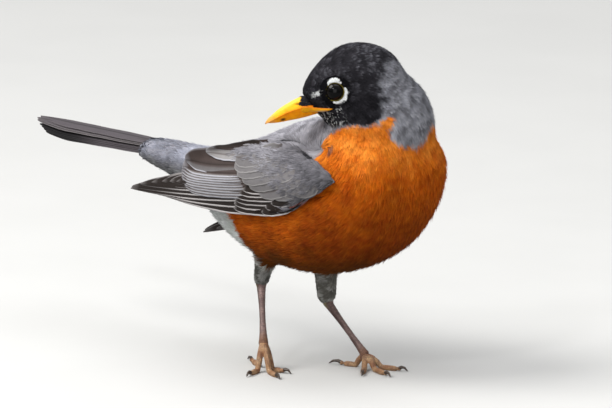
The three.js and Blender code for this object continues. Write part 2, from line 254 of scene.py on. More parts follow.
def ripple(points: Array, wavelength: float, seed: int) -> Array:
    """A smooth wandering value over space, for uneven borders and tone.

    Args:
        points: Places in millimetres, one to a row.
        wavelength: The usual distance between two crests.
        seed: Picks one pattern.

    Returns:
        A value for each place, about -1 to 1.
    """
    rng = np.random.default_rng(seed)
    heading = unit(rng.normal(size=(9, 3))) * (2 * math.pi / (wavelength * rng.uniform(0.7, 1.7, (9, 1))))
    return np.clip(np.sin(points @ heading.T + rng.uniform(0, 6.28, 9)).mean(-1) * 2.4, -1, 1)


@dataclass(frozen=True)
class BirdFrame:
    """The bird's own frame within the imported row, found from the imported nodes."""

    shift: Array
    head_origin: Array
    head_axes: Array

    @classmethod
    def from_nodes(cls) -> "BirdFrame":
        """Finds the frame from the trunk's box and the two eyes.

        Returns:
            The frame, ready to turn places from one to the other.
        """
        low, high = (np.array(corner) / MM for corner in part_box("trunk"))
        shift = np.array([high[0] - TRUNK_FRONT, (low[1] + high[1]) / 2, 0.0])
        axes = yawed(HEAD_HEADING) @ pitched(HEAD_DIP)
        eyes = [np.mean([np.array(corner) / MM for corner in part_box(name)], axis=0)
                for name in ("eye_left", "eye_right")]
        middle = np.mean(eyes, axis=0) - shift
        return cls(shift, middle - axes @ (EYE_PLACE * [1, 0, 1]), axes)

    def to_row(self, points: Array) -> Array:
        """Millimetres in the bird's frame to metres in the row."""
        return (points + self.shift) * MM

    def from_row(self, points: Array) -> Array:
        """Metres in the row to millimetres in the bird's frame."""
        return points / MM - self.shift

    def on_head(self, points: Array) -> Array:
        """Places in the bird's frame as forward, left and up of the head."""
        return (points - self.head_origin) @ self.head_axes

    def off_head(self, points: Array) -> Array:
        """Places on the head as places in the bird's frame."""
        return points @ self.head_axes.T + self.head_origin


@dataclass
class Fabric:
    """Points, faces and surface data of one mesh while it is put together."""

    points: list[Array] = field(default_factory=list)
    triangles: list[Array] = field(default_factory=list)
    quads: list[Array] = field(default_factory=list)
    colours: list[Array] = field(default_factory=list)
    vane: list[Array] = field(default_factory=list)
    atlas: list[Array] = field(default_factory=list)
    normals: list[Array] = field(default_factory=list)
    count: int = 0

    def add(self, points: Array, triangles: Array | None = None, quads: Array | None = None,
            colours: Array | None = None, vane: Array | None = None, atlas: Array | None = None,
            normals: Array | None = None) -> None:
        """Adds one lot of points and the faces on them.

        Args:
            points: Places in millimetres in the bird's frame.
            triangles: Rows of three point numbers within this lot.
            quads: Rows of four point numbers within this lot.
            colours: Linear colour of each point.
            vane: Place of each point across and along its feather.
            atlas: Place of each point on the unwrapped skin.
            normals: Shading normal of each point.
        """
        for rows, held in ((triangles, self.triangles), (quads, self.quads)):
            if rows is not None and len(rows):
                held.append(np.asarray(rows) + self.count)
        for rows, held in ((points, self.points), (colours, self.colours), (vane, self.vane),
                           (atlas, self.atlas), (normals, self.normals)):
            if rows is not None:
                held.append(np.asarray(rows, float))
        self.count += len(points)

    def build(self, name: str, place: BirdFrame) -> bpy.types.Object:
        """Makes the Blender object.

        Args:
            name: The piece's name.
            place: Turns millimetres into the row's metres.

        Returns:
            The new object, linked to the scene.
        """
        mesh = bpy.data.meshes.new(name)
        points = place.to_row(np.concatenate(self.points)).astype(np.float32)
        faces = [np.concatenate(rows) for rows in (self.triangles, self.quads) if rows]
        corners = np.concatenate([rows.ravel() for rows in faces]).astype(np.int32)
        sizes = np.concatenate([np.full(len(rows), rows.shape[1]) for rows in faces])
        starts = np.concatenate([[0], np.cumsum(sizes)[:-1]]).astype(np.int32)
        mesh.vertices.add(len(points))
        mesh.vertices.foreach_set("co", points.ravel())
        mesh.loops.add(len(corners))
        mesh.loops.foreach_set("vertex_index", corners)
        mesh.polygons.add(len(starts))
        mesh.polygons.foreach_set("loop_start", starts)
        mesh.update(calc_edges=True)
        mesh.polygons.foreach_set("use_smooth", np.ones(len(starts), bool))
        for label, rows in (("Vane", self.vane), ("OFBake", self.atlas)):
            if rows:
                layer = mesh.uv_layers.new(name=label)
                layer.uv.foreach_set("vector", np.concatenate(rows)[corners].astype(np.float32).ravel())
        if self.colours:
            paint_points(mesh, np.concatenate(self.colours))
        if self.normals:
            mesh.normals_split_custom_set_from_vertices(unit(np.concatenate(self.normals)).tolist())
        piece = bpy.data.objects.new(name, mesh)
        bpy.context.scene.collection.objects.link(piece)
        return piece


def paint_points(mesh: bpy.types.Mesh, colours: Array) -> None:
    """Writes a linear colour at every point of a mesh.

    Args:
        mesh: The mesh to paint.
        colours: Red, green and blue for each of its points.
    """
    rows = np.concatenate([np.clip(colours, 0, 1), np.ones((len(colours), 1))], axis=1)
    layer = mesh.color_attributes.new("Plume", "FLOAT_COLOR", "POINT")
    layer.data.foreach_set("color", rows.astype(np.float32).ravel())


def mesh_arrays(mesh: bpy.types.Mesh, place: BirdFrame) -> tuple[Array, Array]:
    """Reads a mesh's points and triangles as they stand.

    Args:
        mesh: The mesh to read.
        place: Turns the row's metres into millimetres.

    Returns:
        Points in millimetres and rows of three point numbers.
    """
    points = np.empty(len(mesh.vertices) * 3, np.float32)
    mesh.vertices.foreach_get("co", points)
    mesh.calc_loop_triangles()
    triangles = np.empty(len(mesh.loop_triangles) * 3, np.int32)
    mesh.loop_triangles.foreach_get("vertices", triangles)
    return place.from_row(points.reshape(-1, 3).astype(float)), triangles.reshape(-1, 3)


def read_mesh(piece: bpy.types.Object, place: BirdFrame) -> tuple[Array, Array]:
    """Reads an object's points and triangles, with doubled points joined.

    Args:
        piece: The object to read.
        place: Turns the row's metres into millimetres.

    Returns:
        Points in millimetres and rows of three point numbers.
    """
    points, triangles = mesh_arrays(piece.data, place)
    _, first, slot_of = np.unique(np.round(points * 200).astype(np.int64), axis=0,
                                  return_index=True, return_inverse=True)
    triangles = slot_of.ravel()[triangles]
    keep = (triangles[:, 0] != triangles[:, 1]) & (triangles[:, 1] != triangles[:, 2])
    return points[first], triangles[keep & (triangles[:, 0] != triangles[:, 2])]


def dress(piece: bpy.types.Object, material: bpy.types.Material, slot: str, *nodes: str) -> None:
    """Gives a piece its finish and its body, and hides the solids that it stands in for.

    Args:
        piece: The finished piece.
        material: Its material.
        slot: Not used.
        *nodes: The solids that it stands in for.
    """
    piece.data.materials.append(material)
    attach(piece, "root")
    if nodes:
        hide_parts(*nodes)


def tube_quads(rows: int, wide: int, turned: bool = False) -> Array:
    """Quads of a grid of points that closes on itself across.

    Args:
        rows: Points along.
        wide: Points round.
        turned: Whether the faces look the other way.

    Returns:
        Rows of four point numbers.
    """
    start = np.arange(rows - 1)[:, None] * wide
    cell = (start + np.arange(wide)[None]).ravel()
    right = (start + (np.arange(wide)[None] + 1) % wide).ravel()
    quads = np.stack([cell, cell + wide, right + wide, right], axis=1)
    return quads[:, ::-1] if turned else quads


def tangent(way: Array, normals: Array) -> Array:
    """Unit headings with their part along the normals taken out."""
    return unit(way - (way * normals).sum(1, keepdims=True) * normals)


def write_points(mesh: bpy.types.Mesh, place: BirdFrame, points: Array) -> None:
    """Moves a mesh's points to places in millimetres, and shades it smoothly."""
    mesh.vertices.foreach_set("co", place.to_row(points).astype(np.float32).ravel())
    mesh.polygons.foreach_set("use_smooth", np.ones(len(mesh.polygons), bool))


def point_normals(points: Array, triangles: Array) -> Array:
    """The area-weighted normal at every point of a triangle mesh.

    Args:
        points: Places in millimetres.
        triangles: Rows of three point numbers.

    Returns:
        A unit normal for each point.
    """
    corner = points[triangles]
    face = np.cross(corner[:, 1] - corner[:, 0], corner[:, 2] - corner[:, 0])
    normals = np.zeros_like(points)
    for index in range(3):
        np.add.at(normals, triangles[:, index], face)
    return unit(normals)


def relaxed(values: Array, triangles: Array, rounds: int, share: float = 0.5) -> Array:
    """Averages values over neighbouring points.

    Args:
        values: One row for each point.
        triangles: The mesh's triangles.
        rounds: How many times to average.
        share: How far each round moves towards the average.

    Returns:
        The smoothed rows.
    """
    pairs = np.concatenate([triangles[:, [0, 1]], triangles[:, [1, 2]], triangles[:, [2, 0]]])
    pairs = np.unique(np.sort(pairs, axis=1), axis=0)
    count = np.bincount(pairs.ravel(), minlength=len(values)).astype(float)
    flat = values.reshape(len(values), -1).copy()
    for _ in range(rounds):
        total = np.stack([np.bincount(pairs[:, 0], flat[pairs[:, 1], axis], len(flat))
                          + np.bincount(pairs[:, 1], flat[pairs[:, 0], axis], len(flat))
                          for axis in range(flat.shape[1])], axis=1)
        flat += share * (total / np.maximum(count, 1)[:, None] - flat)
    return flat.reshape(values.shape)


@dataclass
class Surface:
    """A triangle surface that answers where its nearest point is and what a ray meets."""

    points: Array
    triangles: Array

    def __post_init__(self) -> None:
        """Builds the search tree and the normals."""
        self.tree = BVHTree.FromPolygons(self.points.tolist(), self.triangles.tolist())
        self.normals = point_normals(self.points, self.triangles)

    def found(self, places: Array) -> tuple[Array, Array, Array]:
        """Nearest points, the faces that they lie on, and distances."""
        hits = [self.tree.find_nearest(place) for place in places]
        return tuple(np.array([hit[column] for hit in hits]) for column in (0, 2, 3))

    def nearest(self, places: Array) -> tuple[Array, Array, Array]:
        """Nearest points, smooth normals there, and distances."""
        spots, faces, gaps = self.found(places)
        return spots, self.shading(spots, faces), gaps

    def shares(self, spots: Array, faces: Array) -> Array:
        """Shares of a face's three corners at spots on it.

        Args:
            spots: One place on each face.
            faces: The faces' numbers.

        Returns:
            Three shares for each spot, which add to one.
        """
        corner = self.points[self.triangles[faces]]
        first, second = corner[:, 1] - corner[:, 0], corner[:, 2] - corner[:, 0]
        reach = spots - corner[:, 0]
        a, b, c = (first * first).sum(1), (first * second).sum(1), (second * second).sum(1)
        d, e = (reach * first).sum(1), (reach * second).sum(1)
        under = np.maximum(a * c - b * b, 1e-12)
        v, w = (c * d - b * e) / under, (a * e - b * d) / under
        return np.clip(np.stack([1 - v - w, v, w], axis=1), 0, 1)

    def shading(self, spots: Array, faces: Array) -> Array:
        """Smooth normals at spots on numbered faces."""
        return unit((self.normals[self.triangles[faces]] * self.shares(spots, faces)[..., None]).sum(1))

    def hits(self, places: Array, headings: Array, reach: float) -> Array:
        """Distance along each ray to the surface, or infinity where it meets nothing.

        Args:
            places: Where the rays start.
            headings: The rays' unit headings.
            reach: How far to look.

        Returns:
            A distance for each ray.
        """
        cast = self.tree.ray_cast
        found = (cast(place, heading, reach)[3] for place, heading in zip(places.tolist(), headings.tolist()))
        return np.array([math.inf if gap is None else gap for gap in found])


class Graph:
    """A thin layer over a node tree that adds and wires nodes."""

    def __init__(self, tree: bpy.types.NodeTree) -> None:
        """Keeps the tree to work on."""
        self.tree = tree

    def feed(self, node: bpy.types.Node, inputs: dict) -> bpy.types.Node:
        """Links or sets a node's inputs.

        Args:
            node: The node.
            inputs: Values or sockets for its inputs, by name or number.

        Returns:
            The same node.
        """
        for label, value in inputs.items():
            if isinstance(value, bpy.types.NodeSocket):
                self.tree.links.new(value, node.inputs[label])
            else:
                node.inputs[label].default_value = value
        return node

    def add(self, kind: str, inputs: dict | None = None, **settings: object) -> bpy.types.Node:
        """Adds a node.

        Args:
            kind: The node's type without its ShaderNode prefix.
            inputs: Values or sockets for the node's inputs, by name or number.
            **settings: Other properties of the node.

        Returns:
            The new node.
        """
        node = self.tree.nodes.new("ShaderNode" + kind)
        for label, value in settings.items():
            setattr(node, label, value)
        return self.feed(node, inputs or {})

    def group(self, tree: bpy.types.NodeTree, inputs: dict) -> bpy.types.Node:
        """Places a node group and feeds its named inputs."""
        return self.feed(self.add("Group", node_tree=tree), inputs)

    def maths(self, operation: str, *values: object) -> Socket:
        """A Math node over numbers or sockets."""
        return self.add("Math", dict(enumerate(values)), operation=operation).outputs[0]

    def mixed(self, share: object, first: object, second: object) -> Socket:
        """A colour Mix node."""
        return self.add("Mix", {0: share, 6: first, 7: second}, data_type="RGBA").outputs[2]

    def scaled(self, colour: Socket, gain: Socket) -> Socket:
        """A colour or place multiplied by a number."""
        gains = self.add("CombineXYZ", {0: gain, 1: gain, 2: gain}).outputs[0]
        return self.add("VectorMath", {0: colour, 1: gains}, operation="MULTIPLY").outputs[0]

    def signed(self, value: Socket, gain: object, level: float = 1.0) -> Socket:
        """A noise value less a half, times a gain, about a level."""
        return self.maths("MULTIPLY_ADD", self.maths("SUBTRACT", value, 0.5), gain, level)

    def ramp(self, value: Socket, low: float, high: float, start: float = 0.0, end: float = 1.0) -> Socket:
        """A smooth Map Range from low..high to start..end."""
        inputs = {0: value, 1: low, 2: high, 3: start, 4: end}
        return self.add("MapRange", inputs, interpolation_type="SMOOTHSTEP").outputs[0]

    def bump(self, height: Socket, distance: float, strength: float) -> Socket:
        """A normal bent by a height."""
        return self.add("Bump", {"Height": height, "Distance": distance, "Strength": strength}).outputs[0]

    def paint(self) -> Socket:
        """The colour painted on the piece's points."""
        return self.add("VertexColor", layer_name="Plume").outputs[0]

    def place(self) -> Socket:
        """The place on the object, in metres."""
        return self.add("TexCoord").outputs["Object"]

    def vane(self) -> Socket:
        """The place across and along the feather, ring or sheath."""
        return self.add("UVMap", uv_map="Vane").outputs[0]


def new_group(name: str, inputs: dict[str, tuple], outputs: dict[str, str]) -> tuple[Graph, dict, object]:
    """Starts a shader node group.

    Args:
        name: The group's name.
        inputs: Socket type and starting value for each input name.
        outputs: Socket type for each output name.

    Returns:
        The graph, the sockets of the group's inputs by name, and its output node.
    """
    tree = bpy.data.node_groups.new(name, "ShaderNodeTree")
    for label, (kind, value) in inputs.items():
        socket = tree.interface.new_socket(label, in_out="INPUT", socket_type="NodeSocket" + kind)
        if value is not None:
            socket.default_value = value
    for label, kind in outputs.items():
        tree.interface.new_socket(label, in_out="OUTPUT", socket_type="NodeSocket" + kind)
    entry, leave = tree.nodes.new("NodeGroupInput"), tree.nodes.new("NodeGroupOutput")
    return Graph(tree), {label: entry.outputs[label] for label in inputs}, leave


class Effects:
    """The surface effects that more than one finish uses, each a node group built once."""

    def __init__(self) -> None:
        """Builds the groups."""
        self.barbs = self._barbs()
        self.drift = self._drift()
        self.grain = self._grain()
        self.scutes = self._scutes()

    def _barbs(self) -> bpy.types.NodeTree:
        """Fine barbs along a vane: colour streaks, and height for the bump.

        Returns:
            The group.
        """
        graph, given, leave = new_group(
            "Feather barbs",
            {"Color": ("Color", (1, 1, 1, 1)), "Vane": ("Vector", None), "Across": ("Float", 9.0),
             "Along": ("Float", 1.2), "Slant": ("Float", 0.0), "Strength": ("Float", 0.25)},
            {"Color": "Color", "Height": "Float"})
        across, along, _ = graph.add("SeparateXYZ", {0: given["Vane"]}).outputs
        away = graph.maths("ABSOLUTE", graph.maths("SUBTRACT", graph.maths("FRACT", across), 0.5))
        slanted = graph.maths("MULTIPLY_ADD", away, given["Slant"],
                              graph.maths("MULTIPLY", along, given["Along"]))
        place = graph.add("CombineXYZ", {0: graph.maths("MULTIPLY", across, given["Across"]), 1: slanted})
        noise = graph.add("TexNoise", {"Vector": place.outputs[0], "Scale": 1.0, "Detail": 3.0,
                                       "Roughness": 0.6}).outputs[0]
        gain = graph.signed(noise, graph.maths("MULTIPLY", given["Strength"], 4.0))
        graph.feed(leave, {"Color": graph.scaled(given["Color"], gain), "Height": noise})
        return graph.tree

    def _drift(self) -> bpy.types.NodeTree:
        """A slow change of tone over a surface.

        Returns:
            The group.
        """
        graph, given, leave = new_group(
            "Tone drift",
            {"Color": ("Color", (1, 1, 1, 1)), "Place": ("Vector", None), "Scale": ("Float", 250.0),
             "Amount": ("Float", 0.15)},
            {"Color": "Color", "Mask": "Float"})
        noise = graph.add("TexNoise", {"Vector": given["Place"], "Scale": given["Scale"],
                                       "Detail": 4.0}).outputs[0]
        turned = graph.add("HueSaturation", {
            "Hue": graph.signed(noise, graph.maths("MULTIPLY", given["Amount"], 0.12), 0.5),
            "Value": graph.signed(noise, graph.maths("MULTIPLY", given["Amount"], 3.0)),
            "Color": given["Color"]})
        graph.feed(leave, {"Color": turned.outputs[0], "Mask": noise})
        return graph.tree

    def _grain(self) -> bpy.types.NodeTree:
        """Long fine growth lines of horn.

        Returns:
            The group.
        """
        graph, given, leave = new_group(
            "Horn grain",
            {"Place": ("Vector", None), "Scale": ("Float", 500.0), "Stretch": ("Vector", (0.2, 1, 1))},
            {"Lines": "Float"})
        place = graph.add("VectorMath", {0: given["Place"], 1: given["Stretch"]}, operation="MULTIPLY")
        lines = graph.add("TexNoise", {"Vector": place.outputs[0], "Scale": given["Scale"], "Detail": 5.0,
                                       "Roughness": 0.65})
        graph.feed(leave, {"Lines": lines.outputs[0]})
        return graph.tree

    def _scutes(self) -> bpy.types.NodeTree:
        """Small horny plates with dark seams.

        Returns:
            The group.
        """
        graph, given, leave = new_group(
            "Scute plates",
            {"Place": ("Vector", None), "Scale": ("Float", 900.0), "Seam": ("Float", 0.12)},
            {"Height": "Float"})
        cells = graph.add("TexVoronoi", {"Vector": given["Place"], "Scale": given["Scale"]},
                          feature="DISTANCE_TO_EDGE").outputs[0]
        graph.feed(leave, {"Height": graph.ramp(cells, 0.0, given["Seam"])})
        return graph.tree


@dataclass(frozen=True)
class Finish:
    """One finish: its name, and the sockets of its shader."""

    name: str

    def sockets(self, graph: Graph, effects: Effects | None) -> dict[str, object]:
        """Wires the finish; each kind has its own.

        Args:
            graph: The material's graph.
            effects: The shared node groups.

        Returns:
            Values or sockets for the shader's inputs, by name.
        """
        raise NotImplementedError(self.name)

    def material(self, effects: Effects | None = None) -> bpy.types.Material:
        """Builds the node material.

        Args:
            effects: The shared node groups.

        Returns:
            The finished material.
        """
        material = bpy.data.materials.new(self.name)
        material.use_nodes = True
        graph = Graph(material.node_tree)
        shader = next(node for node in material.node_tree.nodes if node.type == "BSDF_PRINCIPLED")
        graph.feed(shader, self.sockets(graph, effects))
        return material


@dataclass(frozen=True)
class PlumageFinish(Finish):
    """Soft body feathers or stiff quills: painted markings under barbs and drift."""

    across: float = 9.0
    along: float = 1.2
    slant: float = 0.0
    streaks: float = 0.34
    drift_scale: float = 260.0
    drift: float = 0.2
    roughness: float = 0.8
    gloss: float = 0.045
    relief: float = 0.00025
    vaned: bool = True
    down_scale: float = 900.0

    def sockets(self, graph: Graph, effects: Effects | None) -> dict[str, object]:
        """Wires paint, drift and barbs; see Finish.sockets.

        Args:
            graph: The material's graph.
            effects: The shared node groups.

        Returns:
            Values or sockets for the shader's inputs, by name.
        """
        place = graph.place()
        drift = graph.group(effects.drift, {"Color": graph.paint(), "Place": place, "Scale": self.drift_scale,
                                            "Amount": self.drift})
        vane = graph.vane() if self.vaned else graph.add(
            "VectorMath", {0: place, 1: (self.down_scale,) * 3}, operation="MULTIPLY").outputs[0]
        barbs = graph.group(effects.barbs, {"Color": drift.outputs["Color"], "Vane": vane,
                                            "Across": self.across, "Along": self.along,
                                            "Slant": self.slant, "Strength": self.streaks})
        height = barbs.outputs["Height"]
        return {"Base Color": barbs.outputs["Color"], "Specular IOR Level": self.gloss,
                "Roughness": graph.maths("MULTIPLY_ADD", height, 0.2, self.roughness - 0.1),
                "Normal": graph.bump(height, self.relief, 0.6)}


@dataclass(frozen=True)
class BillFinish(Finish):
    """Yellow bill sheath: painted zones, growth lines and a waxy gloss."""

    roughness: float = 0.36

    def sockets(self, graph: Graph, effects: Effects | None) -> dict[str, object]:
        """Wires paint, drift and growth lines; see Finish.sockets.

        Args:
            graph: The material's graph.
            effects: The shared node groups.

        Returns:
            Values or sockets for the shader's inputs, by name.
        """
        drift = graph.group(effects.drift, {"Color": graph.paint(), "Place": graph.place(), "Scale": 420.0,
                                            "Amount": 0.16})
        lines = graph.group(effects.grain, {"Place": graph.vane(), "Scale": 30.0,
                                            "Stretch": (0.25, 1.6, 1.0)}).outputs["Lines"]
        shade = graph.ramp(lines, 0.3, 0.62, 0.86, 1.06)
        return {"Base Color": graph.scaled(drift.outputs["Color"], shade), "Specular IOR Level": 0.18,
                "Roughness": graph.maths("MULTIPLY_ADD", lines, 0.3, self.roughness - 0.12),
                "Normal": graph.bump(lines, 0.0003, 0.5), "Subsurface Weight": 0.08,
                "Subsurface Radius": (0.002, 0.001, 0.0004)}


@dataclass(frozen=True)
class LegFinish(Finish):
    """Scaled leg skin, from painted tones and small plates."""

    plates: float = 1100.0
    roughness: float = 0.48
    seam: tuple = (0.03, 0.015, 0.012, 1)

    def sockets(self, graph: Graph, effects: Effects | None) -> dict[str, object]:
        """Wires paint, drift and plates; see Finish.sockets.

        Args:
            graph: The material's graph.
            effects: The shared node groups.

        Returns:
            Values or sockets for the shader's inputs, by name.
        """
        place = graph.place()
        drift = graph.group(effects.drift, {"Color": graph.paint(), "Place": place, "Scale": 600.0,
                                            "Amount": 0.3})
        plates = graph.group(effects.scutes, {"Place": place, "Scale": self.plates, "Seam": 0.14}).outputs[0]
        return {"Base Color": graph.mixed(graph.ramp(plates, 0.0, 1.0, 0.45, 0.0), drift.outputs["Color"],
                                          self.seam),
                "Roughness": graph.maths("MULTIPLY_ADD", drift.outputs["Mask"], 0.3, self.roughness - 0.14),
                "Normal": graph.bump(plates, 0.00018, 0.7), "Specular IOR Level": 0.4}


@dataclass(frozen=True)
class ClawFinish(Finish):
    """Dark translucent-looking horn with growth lines."""

    roughness: float = 0.32
    dark: tuple = (0.20, 0.15, 0.12)
    pale: tuple = (0.38, 0.29, 0.22)

    def sockets(self, graph: Graph, effects: Effects | None) -> dict[str, object]:
        """Wires drift and growth lines; see Finish.sockets.

        Args:
            graph: The material's graph.
            effects: The shared node groups.

        Returns:
            Values or sockets for the shader's inputs, by name.
        """
        place = graph.place()
        lines = graph.group(effects.grain, {"Place": place, "Scale": 1400.0,
                                            "Stretch": (1.0, 1.0, 0.35)}).outputs["Lines"]
        drift = graph.group(effects.drift, {"Color": (*linear(self.dark), 1), "Place": place,
                                            "Scale": 420.0, "Amount": 0.35})
        return {"Base Color": graph.mixed(graph.ramp(lines, 0.4, 0.7, 0.0, 0.35), drift.outputs["Color"],
                                          (*linear(self.pale), 1)),
                "Roughness": graph.maths("MULTIPLY_ADD", lines, 0.25, self.roughness - 0.1),
                "Normal": graph.bump(lines, 0.0002, 0.5)}


@dataclass(frozen=True)
class EyeFinish(Finish):
    """A wet dark eye: painted iris and pupil with fine radial fibres under a clear coat."""

    def sockets(self, graph: Graph, effects: Effects | None) -> dict[str, object]:
        """Wires paint and radial fibres; see Finish.sockets.

        Args:
            graph: The material's graph.
            effects: The shared node groups.

        Returns:
            Values or sockets for the shader's inputs, by name.
        """
        fibres = graph.group(effects.barbs, {"Color": graph.paint(), "Vane": graph.vane(), "Across": 60.0,
                                             "Along": 1.5, "Slant": 0.0, "Strength": 0.35})
        return {"Base Color": fibres.outputs["Color"],
                "Roughness": graph.maths("MULTIPLY_ADD", fibres.outputs["Height"], 0.04, 0.03),
                "Specular IOR Level": 0.05, "Coat Weight": 0.22, "Coat Roughness": 0.02}


@dataclass
class LieOfCoat:
    """Which way the feathers lie: along a line through the head, neck and trunk."""

    place: BirdFrame
    head_line: tuple = ((30.0, 0.0, -2.0), (22.0, 0.0, 0.0), (10.0, 0.0, 1.0), (0.0, 0.0, 0.0))
    body_line: tuple = ((25.0, 0.0, 122.0), (28.5, 2.5, 111.0), (28.0, 1.0, 101.0), (17.0, 0.0, 91.0),
                        (0.0, 0.0, 85.0), (-30.0, 0.0, 80.0), (-60.0, 0.0, 81.0), (-96.0, -1.0, 83.0),
                        (-125.0, -2.0, 84.0))
    reach: float = 15.0

    def __post_init__(self) -> None:
        """Divides the line evenly and keeps its headings."""
        knots = np.concatenate([self.place.off_head(np.array(self.head_line)), np.array(self.body_line)])
        gaps = np.concatenate([[0], np.cumsum(np.linalg.norm(np.diff(knots, axis=0), axis=1))])
        even = np.arange(0, gaps[-1], 2.5)
        path = np.stack([np.interp(even, gaps, knots[:, axis]) for axis in range(3)], axis=1)
        for _ in range(6):
            path[1:-1] = (path[:-2] + 2 * path[1:-1] + path[2:]) / 4
        self.knots = (path[1:] + path[:-1]) / 2
        self.headings = unit(path[1:] - path[:-1])

    def heading(self, points: Array, normals: Array) -> Array:
        """The lie at places on the skin.

        Args:
            points: Places in millimetres.
            normals: Skin normals there.

        Returns:
            Unit headings along the skin, from root to tip.
        """
        gap = ((points[:, None, :] - self.knots[None]) ** 2).sum(-1)
        pull = np.exp(-(gap - gap.min(1, keepdims=True)) / (2 * self.reach ** 2))
        return tangent((pull[..., None] * self.headings[None]).sum(1), normals)


class Tract(Enum):
    """A part of the coat that is one piece: its slot in the record, and its name."""

    FACE = ("feather_black", "coat_face")
    HOOD_LEFT = ("feather_black", "coat_hood_left")
    HOOD_RIGHT = ("feather_black", "coat_hood_right")
    NAPE = ("feather_slate", "coat_nape")
    BREAST_LEFT = ("feather_rust", "coat_breast_left")
    BREAST_RIGHT = ("feather_rust", "coat_breast_right")
    BELLY_LEFT = ("feather_rust", "coat_belly_left")
    BELLY_RIGHT = ("feather_rust", "coat_belly_right")
    BACK = ("feather_slate", "coat_back")
    RUMP = ("feather_slate", "coat_rump")
    SHINS = ("feather_dusky", "coat_shins")


